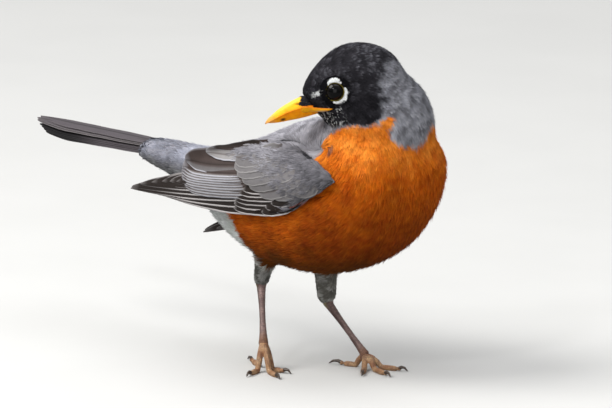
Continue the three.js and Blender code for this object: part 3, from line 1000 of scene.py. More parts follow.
@dataclass
class Markings:
    """Where each colour of the plumage lies."""

    place: BirdFrame
    neck_axis: tuple = (22.0, 0.0)
    # The black hood's rear limit, forward of the head's middle at each height.
    hood_rear: tuple = ((-20, -5), (-9.2, -7.4), (-3.3, -9.4), (1.7, -9.5), (6.7, -11.8), (9.2, -13.2),
                        (11.7, -14.3), (17, -17.5), (24, -19))
    # Its lower limit, height at each place forward.
    hood_low: tuple = ((-9, -9.5), (-2.8, -13.0), (1.9, -14.2), (5.5, -12.5), (10.7, -13.1), (14.6, -14.0),
                       (18.4, -11.2), (22.4, -8.0), (26, -4.0))
    # The rust breast's upper limit, height at each bearing round the neck.
    bib_top: tuple = ((-101, 109.0), (-94, 111.7), (-77, 115.0), (-61, 116.6), (-50, 116.0), (-40, 117.5),
                      (-29, 115.0), (-24.5, 109.7), (-13, 107.2), (-1, 106.0), (10, 108.2), (20, 111.7),
                      (35, 113), (50, 112), (65, 110), (80, 107), (100, 104))
    flank_top: tuple = ((-45, 72), (-30, 78), (0, 86), (12, 95), (17.5, 103), (19, 105))
    vent_front: tuple = ((48, -35), (54.5, -34.6), (59.7, -34.2), (66.1, -35.6), (69.1, -38.6), (76, -45))
    tail_level: tuple = ((-120, 82.5), (-80, 79), (-55, 77), (-40, 76))
    # A painted shadow in the hollow where the neck meets the right wing: its middle and its size.
    shade_spot_place: tuple = (23.5, -27.0, 104.6)
    shade_spot_size: tuple = (1.6, 4.0, 3.0)

    def _read(self, table: tuple, at: Array) -> Array:
        """Reads a limit table."""
        rows = np.array(table, float)
        return np.interp(at, rows[:, 0], rows[:, 1])

    def shares(self, points: Array) -> dict[str, Array]:
        """How far each marking holds at each place.

        Args:
            points: Places in millimetres.

        Returns:
            Values from 0 to 1 for each marking, by its name.
        """
        forward, left, up = self.place.on_head(points).T
        x, y, z = points.T
        wander = ripple(points, 9, 3)
        fine = ripple(points, 3.2, 4)
        rear = self._read(self.hood_rear, up) - 9.0 * smooth(11, 4, np.abs(left)) * smooth(3, 9, up)
        hood = smooth(-9.5, 5.0, forward - rear + 1.2 * wander + 1.4 * fine)
        hood *= smooth(-1.3, 1.0, up - self._read(self.hood_low, forward) + 0.5 * wander + 0.3 * fine)
        hood *= smooth(31, 28, np.linalg.norm(self.place.on_head(points), axis=1))
        bearing = np.degrees(np.arctan2(y - self.neck_axis[1], x - self.neck_axis[0]))
        top = self._read(self.bib_top, bearing)
        facing = smooth(-103, -99, bearing + 1.5 * wander) * smooth(108, 100, bearing)
        bib = smooth(0.9, -0.9, z - top + 0.5 * wander + 0.4 * fine) * facing
        along = (bearing + 30) / 11.0
        tongue = smooth(1.15, 0.85, np.hypot(along, (z - 116.4 - 0.22 * (bearing + 30)) / 2.6) + 0.1 * wander)
        bib = np.maximum(bib, tongue * smooth(38, 42, x))
        bib = np.maximum(bib, smooth(1.2, -1.2, z - self._read(self.flank_top, x) + wander))
        vent = smooth(1.0, -1.0, x - self._read(self.vent_front, z) + 0.8 * wander + 0.5 * fine)
        under = smooth(1.5, -1.5, z - self._read(self.tail_level, x) + 0.8 * wander)
        shade_spot_gap = np.linalg.norm((points - self.shade_spot_place) / self.shade_spot_size, axis=1)
        spot = 0.7 * smooth(1.2, 0.7, shade_spot_gap)
        bib *= 1 - vent
        throat = smooth(7.5, 10.5, forward) * smooth(-3.0, -6.0, up) * smooth(17, 13, np.abs(left)) * hood
        # The crown share marks where painted sheen lightens the top of the hood, and where its pale fringes
        # lie.
        return {"hood": hood, "bib": bib, "vent": vent * under, "throat": throat, "spot": spot * bib,
                "rump": smooth(-38, -58, x), "nape": smooth(108, 118, z + 0.35 * (x - 30)),
                "crown": (0.45 + 0.55 * smooth(6, -10, forward)) * smooth(-4, 8, up)}

    def colours(self, points: Array, shins: Array, ripe: Array, luck: Array) -> tuple[Array, Array]:
        """Colours of the feather at each place.

        Args:
            points: Places in millimetres.
            shins: How far each place is on a feathered shin.
            ripe: Place within its parent feather, -1 at the root to 1 at the rim.
            luck: A random value from 0 to 1 for each feather.

        Returns:
            Linear colours of the feathers' roots and tips.
        """
        part = self.shares(points)
        x, y, z = points.T
        tone, streak = ripple(points, 14, 8), ripple(points, 5, 9)
        ends = blend_pair(self._greys(part, streak, ripe, luck),
                          self._rusts(points, tone, streak, ripe, luck), part["bib"])
        under = layered(Tint.VENT, (Tint.WHITE, smooth(0.2, 0.8, luck)),
                        (Tint.MANTLE_PALE, 0.7 * (smooth(-48, -60, x) * (luck < 0.45))))
        ends = blend_pair(ends, (under, under), part["vent"])
        shade = 0.75 * smooth(-58, -78, x) * smooth(85, 79, z)
        base, tip = blend_pair(ends, (Tint.MANTLE_DARK, Tint.MANTLE_DARK), shade)
        # Painted shade in the hollow where the neck meets the right wing.
        base, tip = blend(base, Tint.SOOT, part["spot"]), blend(tip, Tint.MANTLE_DARK, part["spot"] * 0.8)
        base, tip = self._hooded((base, tip), points, part, tone, ripe, luck)
        base = blend(base, Tint.TAIL_DARK, smooth(-88, -92, x))
        dusky = blend(Tint.SHIN, Tint.SHIN_PALE, smooth(0.35, 1, luck + 0.35 * tone) * 0.6)
        # Painted light: the left shin's feathers are lightened where that side lies in shade.
        dusky = dusky * (1 + 0.8 * smooth(5, 10, y))[:, None]
        base, tip = blend_pair((base, tip), (dusky * 0.8, dusky), shins)
        cuff = smooth(0.1, 0.3, shins) * smooth(0.8, 0.55, shins) * (luck > 0.3)
        tip = blend(tip, Tint.VENT, 0.8 * cuff)
        wobble = 1 + 0.42 * (luck[:, None] - 0.5)
        return base * wobble, tip * wobble

    @staticmethod
    def _rusts(points: Array, tone: Array, streak: Array, ripe: Array, luck: Array) -> tuple[Array, Array]:
        """The rust of the breast, with painted shade below and painted light on the upper breast.

        Args:
            points: Places in millimetres.
            tone: A slow wandering value.
            streak: A quick wandering value.
            ripe: Place within the parent feather.
            luck: A random value for each feather.

        Returns:
            Linear colours of the feathers' roots and tips.
        """
        x, _, z = points.T
        # Painted light and shade: the rust grows darker towards the belly and paler on the upper breast, as
        # if lit from above.
        lit = smooth(58, 106, z + 4 * tone + 12 * smooth(16, 2, x))
        pale = 0.8 * smooth(91, 109, z + 3 * tone) * (0.6 + 0.3 * streak)
        rust = layered(Tint.RUST_SHADE, (Tint.RUST_HALF_SHADE, smooth(46, 66, z + 3 * tone)), (Tint.RUST, lit),
                       (Tint.RUST_PALE_LIT, pale * (0.5 + 0.5 * luck)))
        # The pale feather tips are partly the feathers' own and partly painted light, strongest where the
        # breast is painted lit.
        return rust, blend(rust, Tint.RUST_PALE_LIT, 0.10 + 0.22 * smooth(0.3, 1.0, ripe) * lit)

    @staticmethod
    def _greys(part: dict[str, Array], streak: Array, ripe: Array, luck: Array) -> tuple[Array, Array]:
        """The slate of the back and rump, and the streaked nape.

        Args:
            part: How far each marking holds.
            streak: A quick wandering value.
            ripe: Place within the parent feather.
            luck: A random value for each feather.

        Returns:
            Linear colours of the feathers' roots and tips.
        """
        half = 0.5 - 0.5 * streak
        mantle = layered(Tint.MANTLE, (Tint.MANTLE_DARK, smooth(0.2, 0.9, half) * 0.7),
                         (Tint.RUMP, part["rump"]))
        mantle_tip = blend(mantle, Tint.MANTLE_PALE, 0.2 + 0.65 * smooth(0.1, 0.9, ripe) * (luck > 0.3))
        nape = blend(Tint.NAPE, Tint.SOOT, smooth(0.1, 0.9, half + 0.3 * (luck - 0.5)) * 0.75)
        nape_tip = blend(nape, Tint.NAPE_PALE, 0.15 + 0.75 * smooth(0.1, 0.9, ripe) * (luck > 0.35))
        return blend_pair((mantle, mantle_tip), (nape, nape_tip), part["nape"])

    def _hooded(self, ends: tuple, points: Array, part: dict[str, Array], tone: Array, ripe: Array,
                luck: Array) -> tuple[Array, Array]:
        """Lays the black hood, with its streaked throat and white lores, over the other colours.

        Args:
            ends: Colours of the roots and tips below the hood.
            points: Places in millimetres.
            part: How far each marking holds.
            tone: A slow wandering value.
            ripe: Place within the parent feather.
            luck: A random value for each feather.

        Returns:
            Linear colours of the feathers' roots and tips.
        """
        # Painted sheen: the crown's black is lifted towards soot grey; the luck term is the feathers' own
        # variety.
        jet = blend(Tint.JET, Tint.SOOT, 0.5 * smooth(0.3, 1.0, luck) + 0.6 * part["crown"])
        scaly = part["crown"] * smooth(0.0, 0.7, ripe) * smooth(0.35, 0.8, luck + 0.3 * tone)
        jet_tip = layered(jet, (Tint.SOOT, 0.35), (Tint.HOOD_EDGE, scaly))
        white = part["throat"] * ((luck * 7.0) % 1.0 < 0.13)
        lore = self._supraloral(points, luck)
        jet = layered(jet, (Tint.WHITE, 0.5 * white), (Tint.WHITE, lore))
        jet_tip = layered(jet_tip, (Tint.WHITE, 0.85 * white), (Tint.WHITE, lore))
        chance = 0.18 + 0.64 * ((luck * 13.0) % 1.0)
        black = smooth(chance - 0.22, chance + 0.22, part["hood"])
        fringe = blend(jet_tip, Tint.NAPE, 0.9 * smooth(0.98, 0.6, part["hood"]))
        return blend_pair(ends, (jet, fringe), black)

    def _supraloral(self, points: Array, luck: Array) -> Array:
        """The short white stripe between each eye and the bill's top edge.

        Args:
            points: Places in millimetres.
            luck: A random value from 0 to 1 for each feather.

        Returns:
            Values from 0 to 1.
        """
        forward, left, up = self.place.on_head(points).T
        level = 2.75 - 0.36 * (forward - 18.2)
        near = smooth(14.8, 15.8, forward) * smooth(21.2, 19.0, forward)
        return near * smooth(1.25, 0.7, np.abs(up - level)) * smooth(4.5, 6.0, np.abs(left)) * (luck > 0.3)

    def tracts(self, points: Array, shins: Array) -> Array:
        """The number of the tract that each place belongs to, in the Enum's order.

        Args:
            points: Places in millimetres.
            shins: How far each place is on a feathered shin.

        Returns:
            A number for each place.
        """
        part = self.shares(points)
        forward, left, _ = self.place.on_head(points).T
        x, y, z = points.T
        names = list(Tract)
        number = np.full(len(points), names.index(Tract.BACK))
        number[part["rump"] > 0.5] = names.index(Tract.RUMP)
        number[(part["nape"] > 0.5) & (x > -5)] = names.index(Tract.NAPE)
        for rule, tract in (
                ((part["bib"] > 0.5) & (z >= 84) & (y >= 2), Tract.BREAST_LEFT),
                ((part["bib"] > 0.5) & (z >= 84) & (y < 2), Tract.BREAST_RIGHT),
                ((part["bib"] > 0.5) & (z < 84) & (y >= 0), Tract.BELLY_LEFT),
                ((part["bib"] > 0.5) & (z < 84) & (y < 0), Tract.BELLY_RIGHT),
                ((part["hood"] > 0.5) & (left >= 0), Tract.HOOD_LEFT),
                ((part["hood"] > 0.5) & (left < 0), Tract.HOOD_RIGHT),
                ((part["hood"] > 0.5) & (forward > 15), Tract.FACE),
                (shins > 0.5, Tract.SHINS)):
            number[rule] = names.index(tract)
        return number


@dataclass
class Hide:
    """A closed surface that feathers root in, with its unwrap and the depth of its coat."""

    surface: Surface
    coat: Array
    shins: Array
    unwrap: Array

    @classmethod
    def over(cls, piece: bpy.types.Object, place: BirdFrame, points: Array, coat: Array,
             shins: Array) -> "Hide":
        """Writes the final points to a piece, unwraps it and wraps it all up.

        Args:
            piece: The piece, whose mesh has these points.
            place: Turns millimetres into the row's metres.
            points: The final points.
            coat: Depth of the coat over each point.
            shins: How far each point is on a feathered shin.

        Returns:
            The hide.
        """
        mesh = piece.data
        write_points(mesh, place, points)
        mesh.uv_layers.new(name="OFBake")
        for other in bpy.context.selected_objects:
            other.select_set(False)
        bpy.context.view_layer.objects.active = piece
        piece.select_set(True)
        bpy.ops.object.mode_set(mode="EDIT")
        bpy.ops.mesh.select_all(action="SELECT")
        bpy.ops.uv.smart_project(angle_limit=math.radians(62), island_margin=0.004)
        bpy.ops.object.mode_set(mode="OBJECT")
        piece.select_set(False)
        _, corners = mesh_arrays(mesh, place)
        loops = np.empty(corners.size, np.int32)
        mesh.loop_triangles.foreach_get("loops", loops)
        flat = np.empty(len(mesh.loops) * 2, np.float32)
        mesh.uv_layers["OFBake"].uv.foreach_get("vector", flat)
        unwrap = flat.reshape(-1, 2)[loops].reshape(-1, 3, 2).astype(float)
        return cls(Surface(points, corners), coat, shins, unwrap)

    def unwrapped(self, places: Array) -> Array:
        """Where the hide nearest to each place lies on the unwrap."""
        spots, faces, _ = self.surface.found(places)
        return (self.unwrap[faces] * self.surface.shares(spots, faces)[..., None]).sum(1)

    def scatter(self, density: Array, seed: int) -> dict[str, Array]:
        """Places feather roots over the hide.

        Args:
            density: Feathers to a square millimetre at each point.
            seed: Fixes the random draw.

        Returns:
            Root places, normals, unwrap places, shin shares and coat depths, by name.
        """
        rng = np.random.default_rng(seed)
        surface = self.surface
        corner = surface.points[surface.triangles]
        area = np.linalg.norm(np.cross(corner[:, 1] - corner[:, 0], corner[:, 2] - corner[:, 0]), axis=1) / 2
        total = np.cumsum(area * density[surface.triangles].mean(1))
        count = int(total[-1])
        draw = (np.arange(count) + rng.random(count)) * total[-1] / count
        face = np.minimum(np.searchsorted(total, draw), len(total) - 1)
        a, b = rng.random((2, count))
        fold = a + b > 1
        a[fold], b[fold] = 1 - a[fold], 1 - b[fold]
        share = np.stack([1 - a - b, a, b], axis=1)
        spots = (corner[face] * share[..., None]).sum(1)
        held = surface.triangles[face]
        return {"root": spots, "normal": surface.shading(spots, face),
                "atlas": (self.unwrap[face] * share[..., None]).sum(1),
                "shin": (self.shins[held] * share).sum(1), "coat": (self.coat[held] * share).sum(1)}


def joined(pieces: list[bpy.types.Object], place: BirdFrame) -> Surface:
    """Several solids as one surface.

    Args:
        pieces: The solids.
        place: Turns the row's metres into millimetres.

    Returns:
        The surface.
    """
    fabric = Fabric()
    for piece in pieces:
        points, triangles = read_mesh(piece, place)
        fabric.add(points, triangles=triangles)
    return Surface(np.concatenate(fabric.points), np.concatenate(fabric.triangles))


def fused(fabric: Fabric, name: str, place: BirdFrame, voxel: float,
          rounds: int) -> tuple[bpy.types.Object, Array, Array]:
    """Melts closed solids into one smooth closed mesh.

    Args:
        fabric: The solids.
        name: The new piece's name.
        place: Turns millimetres into the row's metres.
        voxel: The remesh's cell.
        rounds: How often the points are averaged.

    Returns:
        The piece, its smoothed points in millimetres and its triangles.
    """
    piece = fabric.build(name, place)
    modifier = piece.modifiers.new("remesh", "REMESH")
    modifier.mode, modifier.voxel_size = "VOXEL", voxel * MM
    bpy.context.view_layer.update()
    mesh = bpy.data.meshes.new_from_object(piece.evaluated_get(bpy.context.evaluated_depsgraph_get()))
    piece.modifiers.clear()
    piece.data = mesh
    points, triangles = mesh_arrays(mesh, place)
    return piece, relaxed(points, triangles, rounds), triangles


@dataclass
class Skin:
    """One closed skin under the coat, in place of the solids of flesh."""

    place: BirdFrame
    nodes: dict
    markings: Markings
    down: bpy.types.Material
    swell: float = 0.5
    thigh_swell: tuple = (("leg_right_thigh", 1.5), ("leg_left_thigh", 2.2))
    voxel: float = 1.25
    coat_body: float = 3.0
    coat_neck: float = 2.2
    coat_head: float = 1.2
    coat_face: float = 0.6
    coat_shin: float = 0.9
    coat_rump: float = 1.6
    bill_reach: float = 17.5
    tail_reach: float = -98.0
    flesh: tuple = ("head", "neck", "trunk", "rump", "leg_right_thigh", "leg_left_thigh")
    fillers: tuple = ("eye_left", "eye_right", "bill_upper", "bill_lower", "tail")

    def build(self) -> Hide:
        """Makes the skin, its unwrap and its painted markings.

        Returns:
            The skin as a hide for the coat.
        """
        fabric = Fabric()
        for name in self.flesh + self.fillers:
            points, triangles = read_mesh(self.nodes[name], self.place)
            points = points + dict(self.thigh_swell).get(name, self.swell) * point_normals(points, triangles)
            if name.startswith("bill"):
                local = self.place.on_head(points)
                local[:, 0] = np.minimum(local[:, 0], self.bill_reach)
                points = self.place.off_head(local)
            if name == "tail":
                points[:, 0] = np.maximum(points[:, 0], self.tail_reach)
            fabric.add(points, triangles=triangles)
        piece, points, triangles = fused(fabric, "skin", self.place, self.voxel, 8)
        normals = relaxed(point_normals(points, triangles), triangles, 4)
        shins = relaxed(self._on_shins(points), triangles, 3)
        coat = relaxed(self._coat_depth(points, shins), triangles, 6)
        points = relaxed(points - unit(normals) * (coat + self.swell)[:, None], triangles, 2)
        hide = Hide.over(piece, self.place, points, coat, shins)
        luck = np.full(len(points), 0.45)
        base, tip = self.markings.colours(points, shins, luck * 0, luck)
        paint_points(piece.data, 0.6 * base + 0.4 * tip)
        dress(piece, self.down, "feather_rust", *self.flesh)
        LOG.info("skin: built")
        return hide

    def _on_shins(self, points: Array) -> Array:
        """1 where a place lies on a shin rather than the trunk, else 0.

        Args:
            points: Places in millimetres.

        Returns:
            A value for each place.
        """
        own = np.min([Surface(*read_mesh(self.nodes[name], self.place)).nearest(points)[2]
                      for name in self.flesh if "thigh" in name], axis=0)
        trunk = Surface(*read_mesh(self.nodes["trunk"], self.place)).nearest(points)[2]
        return (own < trunk).astype(float)

    def _coat_depth(self, points: Array, shins: Array) -> Array:
        """How deep the coat is over each place.

        Args:
            points: Places on the skin.
            shins: How far each is on a feathered shin.

        Returns:
            Depths in millimetres.
        """
        forward, _, up = self.place.on_head(points).T
        away = np.linalg.norm(self.place.on_head(points), axis=1)
        return settled(
            self.coat_body,
            (self.coat_neck, smooth(100, 112, points[:, 2])),
            (self.coat_head, smooth(25, 20.5, away) * smooth(-17, -10, up)),
            (self.coat_face, smooth(10, 19, forward) * smooth(30, 26, away) * smooth(-17, -12, up)),
            (self.coat_rump, smooth(-55, -85, points[:, 0])),
            (self.coat_shin, shins))


@dataclass(frozen=True)
class GapeLine:
    """Where the bill's corner runs back under the eye, in the head's frame."""

    middle: tuple = ((13.0, -4.7), (17.5, -4.7), (22.0, -4.2), (25.5, -3.5), (28.0, -3.6))
    depth: tuple = ((13.3, -0.6), (13.9, 0.15), (15.0, 0.5), (17.5, 0.9), (22.0, 1.35), (25.5, 1.75),
                    (27.0, -0.6))

    def level(self, forward: Array) -> Array:
        """The strip's middle height."""
        return np.interp(forward, *np.array(self.middle).T)

    def half(self, forward: Array) -> Array:
        """Half the strip's height, below zero past its ends."""
        return np.interp(forward, *np.array(self.depth).T)


GAPE = GapeLine()


@dataclass
class Coat:
    """The body plumage: many thin vanes with split tips, rooted in the skin."""

    place: BirdFrame
    nodes: dict
    skin: Hide
    lie: LieOfCoat
    markings: Markings
    barbs: int = 4
    full_depth: float = 3.0
    patch: float = 0.003
    seed: int = 11
    parent_gap: float = 3.6
    eye_bare: float = 4.6
    eye_facing: tuple = (0.25, 0.96, 0.1)
    wing_gap: float = 9.0
    rump_end: float = -111.0
    plump: float = 1.0

    def build(self, plumage: bpy.types.Material) -> None:
        """Makes one piece for each tract.

        Args:
            plumage: The vanes' material.
        """
        roots = self.skin.scatter(self._density(), self.seed)
        keep = self._in_the_open(roots)
        roots = {label: rows[keep] for label, rows in roots.items()}
        vanes = self._shape(roots)
        for name, slot, chosen in self._sorted(vanes, roots):
            if not chosen.any():
                continue
            fabric = Fabric()
            self.weave(fabric, {label: rows[chosen] for label, rows in vanes.items()})
            dress(fabric.build(name, self.place), plumage, slot)
            LOG.info("%s: %d feathers", name, chosen.sum())

    def _sorted(self, vanes: dict[str, Array], roots: dict[str, Array]) -> list[tuple[str, str, Array]]:
        """Each piece's name and slot, and which vanes are its own.

        Args:
            vanes: The vanes' courses.
            roots: The scattered roots.

        Returns:
            A name, a slot and a choice of vanes for each piece.
        """
        number = self.markings.tracts(vanes["middle"], roots["shin"])
        return [(tract.value[1], tract.value[0], number == index) for index, tract in enumerate(Tract)]

    def _lengths(self, spots: Array, roots: dict[str, Array]) -> Array:
        """Each vane's length, before chance.

        Args:
            spots: The vanes' roots.
            roots: The scattered roots, with their shin shares.

        Returns:
            Lengths in millimetres.
        """
        local = self.place.on_head(spots)
        away = np.linalg.norm(local, axis=1)
        length = settled(
            8.0,
            (6.2, smooth(98, 112, spots[:, 2])),
            (3.2, smooth(27, 21, away) * smooth(-18, -10, local[:, 2])),
            (1.7, smooth(9, 19, local[:, 0]) * smooth(30, 25, away) * smooth(-16, -11, local[:, 2])),
            (3.0, roots["shin"]))
        eye_gap = np.min([np.linalg.norm((local - EYE_PLACE * [1, side.value, 1])
                                         * [1, 0.5, 1], axis=1) for side in Side], axis=0)
        return length * (1 - 0.45 * smooth(8.5, 5.5, eye_gap))

    def _density(self) -> Array:
        """Feathers to a square millimetre at each skin point.

        Returns:
            A density for each point.
        """
        points = self.skin.surface.points
        forward, _, up = self.place.on_head(points).T
        away = np.linalg.norm(self.place.on_head(points), axis=1)
        return settled(
            1.55,
            (2.6, smooth(100, 114, points[:, 2])),
            (4.6, smooth(26, 21, away) * smooth(-17, -11, up)),
            (6.5, smooth(8, 18, forward) * smooth(30, 25, away) * smooth(-16, -11, up)),
            (1.7, smooth(-50, -70, points[:, 0])),
            (6.0, self.skin.shins))

    def _in_the_open(self, roots: dict[str, Array]) -> Array:
        """Leaves out feathers under a wing, over an eye, bill or gape, or past the rump's end.

        Args:
            roots: The scattered roots.

        Returns:
            Whether each root keeps its feather.
        """
        cover = joined([node for name, node in self.nodes.items() if name.startswith("wing")], self.place)
        open_air = ~np.isfinite(cover.hits(roots["root"], roots["normal"], self.wing_gap))
        local = self.place.on_head(roots["root"])
        for side in Side:
            axis = unit(np.array(self.eye_facing) * [1, side.value, 1])
            offset = local - EYE_PLACE * [1, side.value, 1]
            ahead = offset @ axis
            aside = np.linalg.norm(offset - ahead[:, None] * axis, axis=1)
            open_air &= ~((aside < self.eye_bare) & (ahead > 0))
        forward, left, up = local.T
        bill = (forward > 17.0) & (np.abs(left) < 4.9 - 0.15 * (forward - 17)) & (up < 1.2) & (up > -6.4)
        gape = np.abs(up - GAPE.level(forward)) < GAPE.half(forward) + 0.25
        x, y, z = roots["root"].T
        return open_air & ~bill & ~gape & (x > self.rump_end + 8.0 * smooth(0, 3, y) * smooth(84, 87, z))

    def _parents(self, roots: dict[str, Array], heading: Array, rng: np.random.Generator) -> dict[str, Array]:
        """Gathers the vanes into larger feathers, which give the coat its scaled look.

        Args:
            roots: The scattered roots.
            heading: The lie at each root.
            rng: The random source.

        Returns:
            For each vane: its parent's luck, and its place along and across the parent.
        """
        order = rng.permutation(len(roots["root"]))
        size = self.parent_gap * np.clip(roots["coat"] / self.full_depth, 0.42, 1.0)
        taken: dict[tuple, list[int]] = {}
        chosen: list[int] = []
        spots = roots["root"]
        for index in order.tolist():
            reach = size[index]
            cell = tuple((spots[index] // 4.0).astype(int))
            near = (other for dx in (-1, 0, 1) for dy in (-1, 0, 1) for dz in (-1, 0, 1)
                    for other in taken.get((cell[0] + dx, cell[1] + dy, cell[2] + dz), ()))
            if all(((spots[index] - spots[other]) ** 2).sum() > reach * reach for other in near):
                taken.setdefault(cell, []).append(index)
                chosen.append(index)
        tree = KDTree(len(chosen))
        for slot, index in enumerate(chosen):
            tree.insert(spots[index], slot)
        tree.balance()
        parents = np.array(chosen)
        nearest = parents[[tree.find(spot)[1] for spot in spots.tolist()]]
        offset = spots - spots[nearest]
        side = np.cross(roots["normal"], heading)
        reach = size[nearest] * 0.75
        luck = rng.random(len(spots))
        return {"luck": luck[nearest], "ripe": np.clip((offset * heading[nearest]).sum(1) / reach, -1, 1),
                "across": np.clip((offset * side[nearest]).sum(1) / reach, -1, 1)}

    def _shape(self, roots: dict[str, Array]) -> dict[str, Array]:
        """Works out the course, size and colour of every vane.

        Args:
            roots: The scattered roots.

        Returns:
            An array for each quality of the vanes, by name.
        """
        rng = np.random.default_rng(self.seed + 1)
        spots, normals = roots["root"], roots["normal"]
        count = len(spots)
        heading = self.lie.heading(spots, normals)
        parent = self._parents(roots, heading, rng)
        length = self._lengths(spots, roots)
        length *= rng.uniform(0.75, 1.2, count)
        width = length * (0.26 + 0.10 * smooth(3.5, 2.0, length)) * rng.uniform(0.8, 1.2, count)
        twist = rng.normal(0, 0.12, count) + 0.16 * parent["across"]
        side = np.cross(normals, heading)
        heading = unit(heading + side * twist[:, None])
        surface = self.skin.surface
        middle, middle_normal, _ = surface.nearest(spots + heading * (length * 0.5)[:, None])
        onward = self.lie.heading(middle, middle_normal)
        onward = unit(onward + np.cross(middle_normal, onward) * twist[:, None])
        end, end_normal, _ = surface.nearest(middle + onward * (length * 0.5)[:, None])
        lift = self.plump * roots["coat"] * (0.80 + 0.16 * parent["ripe"] + rng.normal(0, 0.09, count))
        luck = np.clip(0.65 * parent["luck"] + 0.35 * rng.random(count), 0, 1)
        visible = middle * 0.4 + end * 0.6
        base, tip = self.markings.colours(visible, roots["shin"], parent["ripe"], luck)
        return {"root": spots, "middle": visible, "mid": middle, "end": end, "n0": normals,
                "n1": middle_normal, "n2": end_normal, "width": width, "lift": lift, "base": base,
                "tip": tip, "atlas": roots["atlas"], "luck": rng.random(count), "length": length}

    def weave(self, fabric: Fabric, vanes: dict[str, Array]) -> None:
        """Adds the vanes of one tract to a mesh.

        Args:
            fabric: The mesh being made.
            vanes: The courses, sizes and colours.
        """
        rng = np.random.default_rng(self.seed + 2)
        count, barbs = len(vanes["root"]), self.barbs
        edges = np.linspace(-1, 1, barbs + 1)
        middles = (edges[1:] + edges[:-1]) / 2
        along = np.concatenate([[0, 0], np.full(barbs + 1, 0.38), np.full(2 * barbs, 0.74), np.ones(barbs)])
        split = (middles[:, None] + np.array([-0.62, 0.62]) / barbs).ravel()
        across = np.concatenate([[-0.45, 0.45], edges * 0.95, split, middles * 1.05])
        finger = np.concatenate([np.full(barbs + 3, -1), np.repeat(np.arange(barbs), 2), np.arange(barbs)])
        faces = [(0, 1, 2 + barbs // 2)]
        faces += [(0, 2 + index + 1, 2 + index) for index in range(barbs // 2)]
        faces += [(1, 2 + index + 1, 2 + index) for index in range(barbs // 2, barbs)]
        low, mid, top = 2, barbs + 3, 3 * barbs + 3
        for index in range(barbs):
            a, b, c, d = low + index, low + index + 1, mid + 2 * index, mid + 2 * index + 1
            faces += [(a, b, d), (a, d, c), (c, d, top + index)]
        spread = rng.normal(0, 0.16, (count, barbs))
        reach = rng.uniform(0.78, 1.06, (count, barbs))
        raised = rng.normal(0, 0.10, (count, barbs))
        on_finger = finger >= 0
        t = np.repeat(along[None], count, axis=0)
        u = np.repeat(across[None], count, axis=0)
        rise = np.zeros_like(t)
        tip = (along - 0.38) / 0.62
        t[:, on_finger] *= 1 + (reach[:, finger[on_finger]] - 1) * tip[on_finger]
        u[:, on_finger] += spread[:, finger[on_finger]] * tip[on_finger]
        rise[:, on_finger] += raised[:, finger[on_finger]] * tip[on_finger]
        w0, w1, w2 = (1 - t) * (1 - 2 * t), 4 * t * (1 - t), t * (2 * t - 1)
        course = (vanes["root"][:, None] * w0[..., None] + vanes["mid"][:, None] * w1[..., None]
                  + vanes["end"][:, None] * w2[..., None])
        normal = unit(vanes["n0"][:, None] * (1 - t)[..., None] + vanes["n2"][:, None] * t[..., None]
                      + 0.3 * vanes["n1"][:, None])
        heading = unit(vanes["end"] - vanes["root"])[:, None]
        side = unit(np.cross(normal, heading))
        height = vanes["lift"][:, None] * (0.12 + 0.88 * t ** 0.75 + rise)
        height -= 0.10 * vanes["width"][:, None] * u * u
        half = vanes["width"][:, None] / 2 * (0.75 + 0.25 * np.sin(math.pi * np.clip(t, 0, 1)))
        points = course + side * (u * half)[..., None] + normal * height[..., None]
        shade = np.clip((t - 0.25) / 0.7, 0, 1)
        colours = vanes["base"][:, None] + (vanes["tip"] - vanes["base"])[:, None] * shade[..., None]
        # Painted shade: each vane darkens towards its root, where the vanes overlap.
        colours *= (0.5 + 0.5 * np.clip(t / 0.6, 0, 1))[..., None]
        colours *= (1 + rng.normal(0, 0.05, (count, 1, 1)))
        vane = np.stack([0.5 + 0.45 * u + np.floor(vanes["luck"] * 400)[:, None], t], axis=-1)
        atlas = vanes["atlas"][:, None] + self.patch * np.stack([u * 0.5, t - 0.5], axis=-1)
        face_rows = np.array(faces)[None] + (np.arange(count) * len(along))[:, None, None]
        bent = unit(normal * 1.0 + side * (u * 0.35)[..., None] + heading * 0.10)
        fabric.add(points.reshape(-1, 3), triangles=face_rows.reshape(-1, 3)[:, ::-1],
                   colours=colours.reshape(-1, 3), vane=vane.reshape(-1, 2), atlas=atlas.reshape(-1, 2),
                   normals=bent.reshape(-1, 3))

    def tuft(self, fabric: Fabric, course: list[Array], normal: Array, width: Array, lift: float,
             colour: Array, luck: Array) -> None:
        """Adds small vanes whose courses are given.

        Args:
            fabric: The mesh being made.
            course: The vanes' roots, middles and ends.
            normal: Which way is out at each.
            width: Their widths.
            lift: Their height at the tip.
            colour: Linear colour of each.
            luck: A random value for each.
        """
        root, middle, end = course
        self.weave(fabric, {
            "root": root, "mid": middle, "end": end, "n0": normal, "n1": normal, "n2": normal,
            "width": width, "lift": np.full(len(root), lift), "base": colour, "tip": colour,
            "atlas": self.skin.unwrapped(root), "luck": luck})


@dataclass(frozen=True)
class Dye:
    """The colours of one large feather."""

    web: Tint
    inner: Tint
    edge: Tint
    shaft: Tint = Tint.QUILL_DARK
    root: Tint = Tint.QUILL_BROWN
    tip_edge: float = 0.6


@dataclass(frozen=True)
class Quill:
    """One large feather on a flat plan, from root to tip, before it is laid on the wing or tail."""

    root: tuple[float, float]
    tip: tuple[float, float]
    outer: float
    inner: float
    dye: Dye
    bend: float = 0.0
    shoulder: float = 0.3
    narrow: float = 0.55
    taper: float = 0.7
    point: float = 2.0
    fringe: float = 0.22
    lift: float = 0.0
    tilt: float = 0.4
    rise: float = 0.0
    camber: float = 0.25
    dark_to: float = 0.12
    sink: float = 1.3
    root_to: float = 0.25
    fade: float = 0.0
    rows: int = 22
    luck: float = 0.5


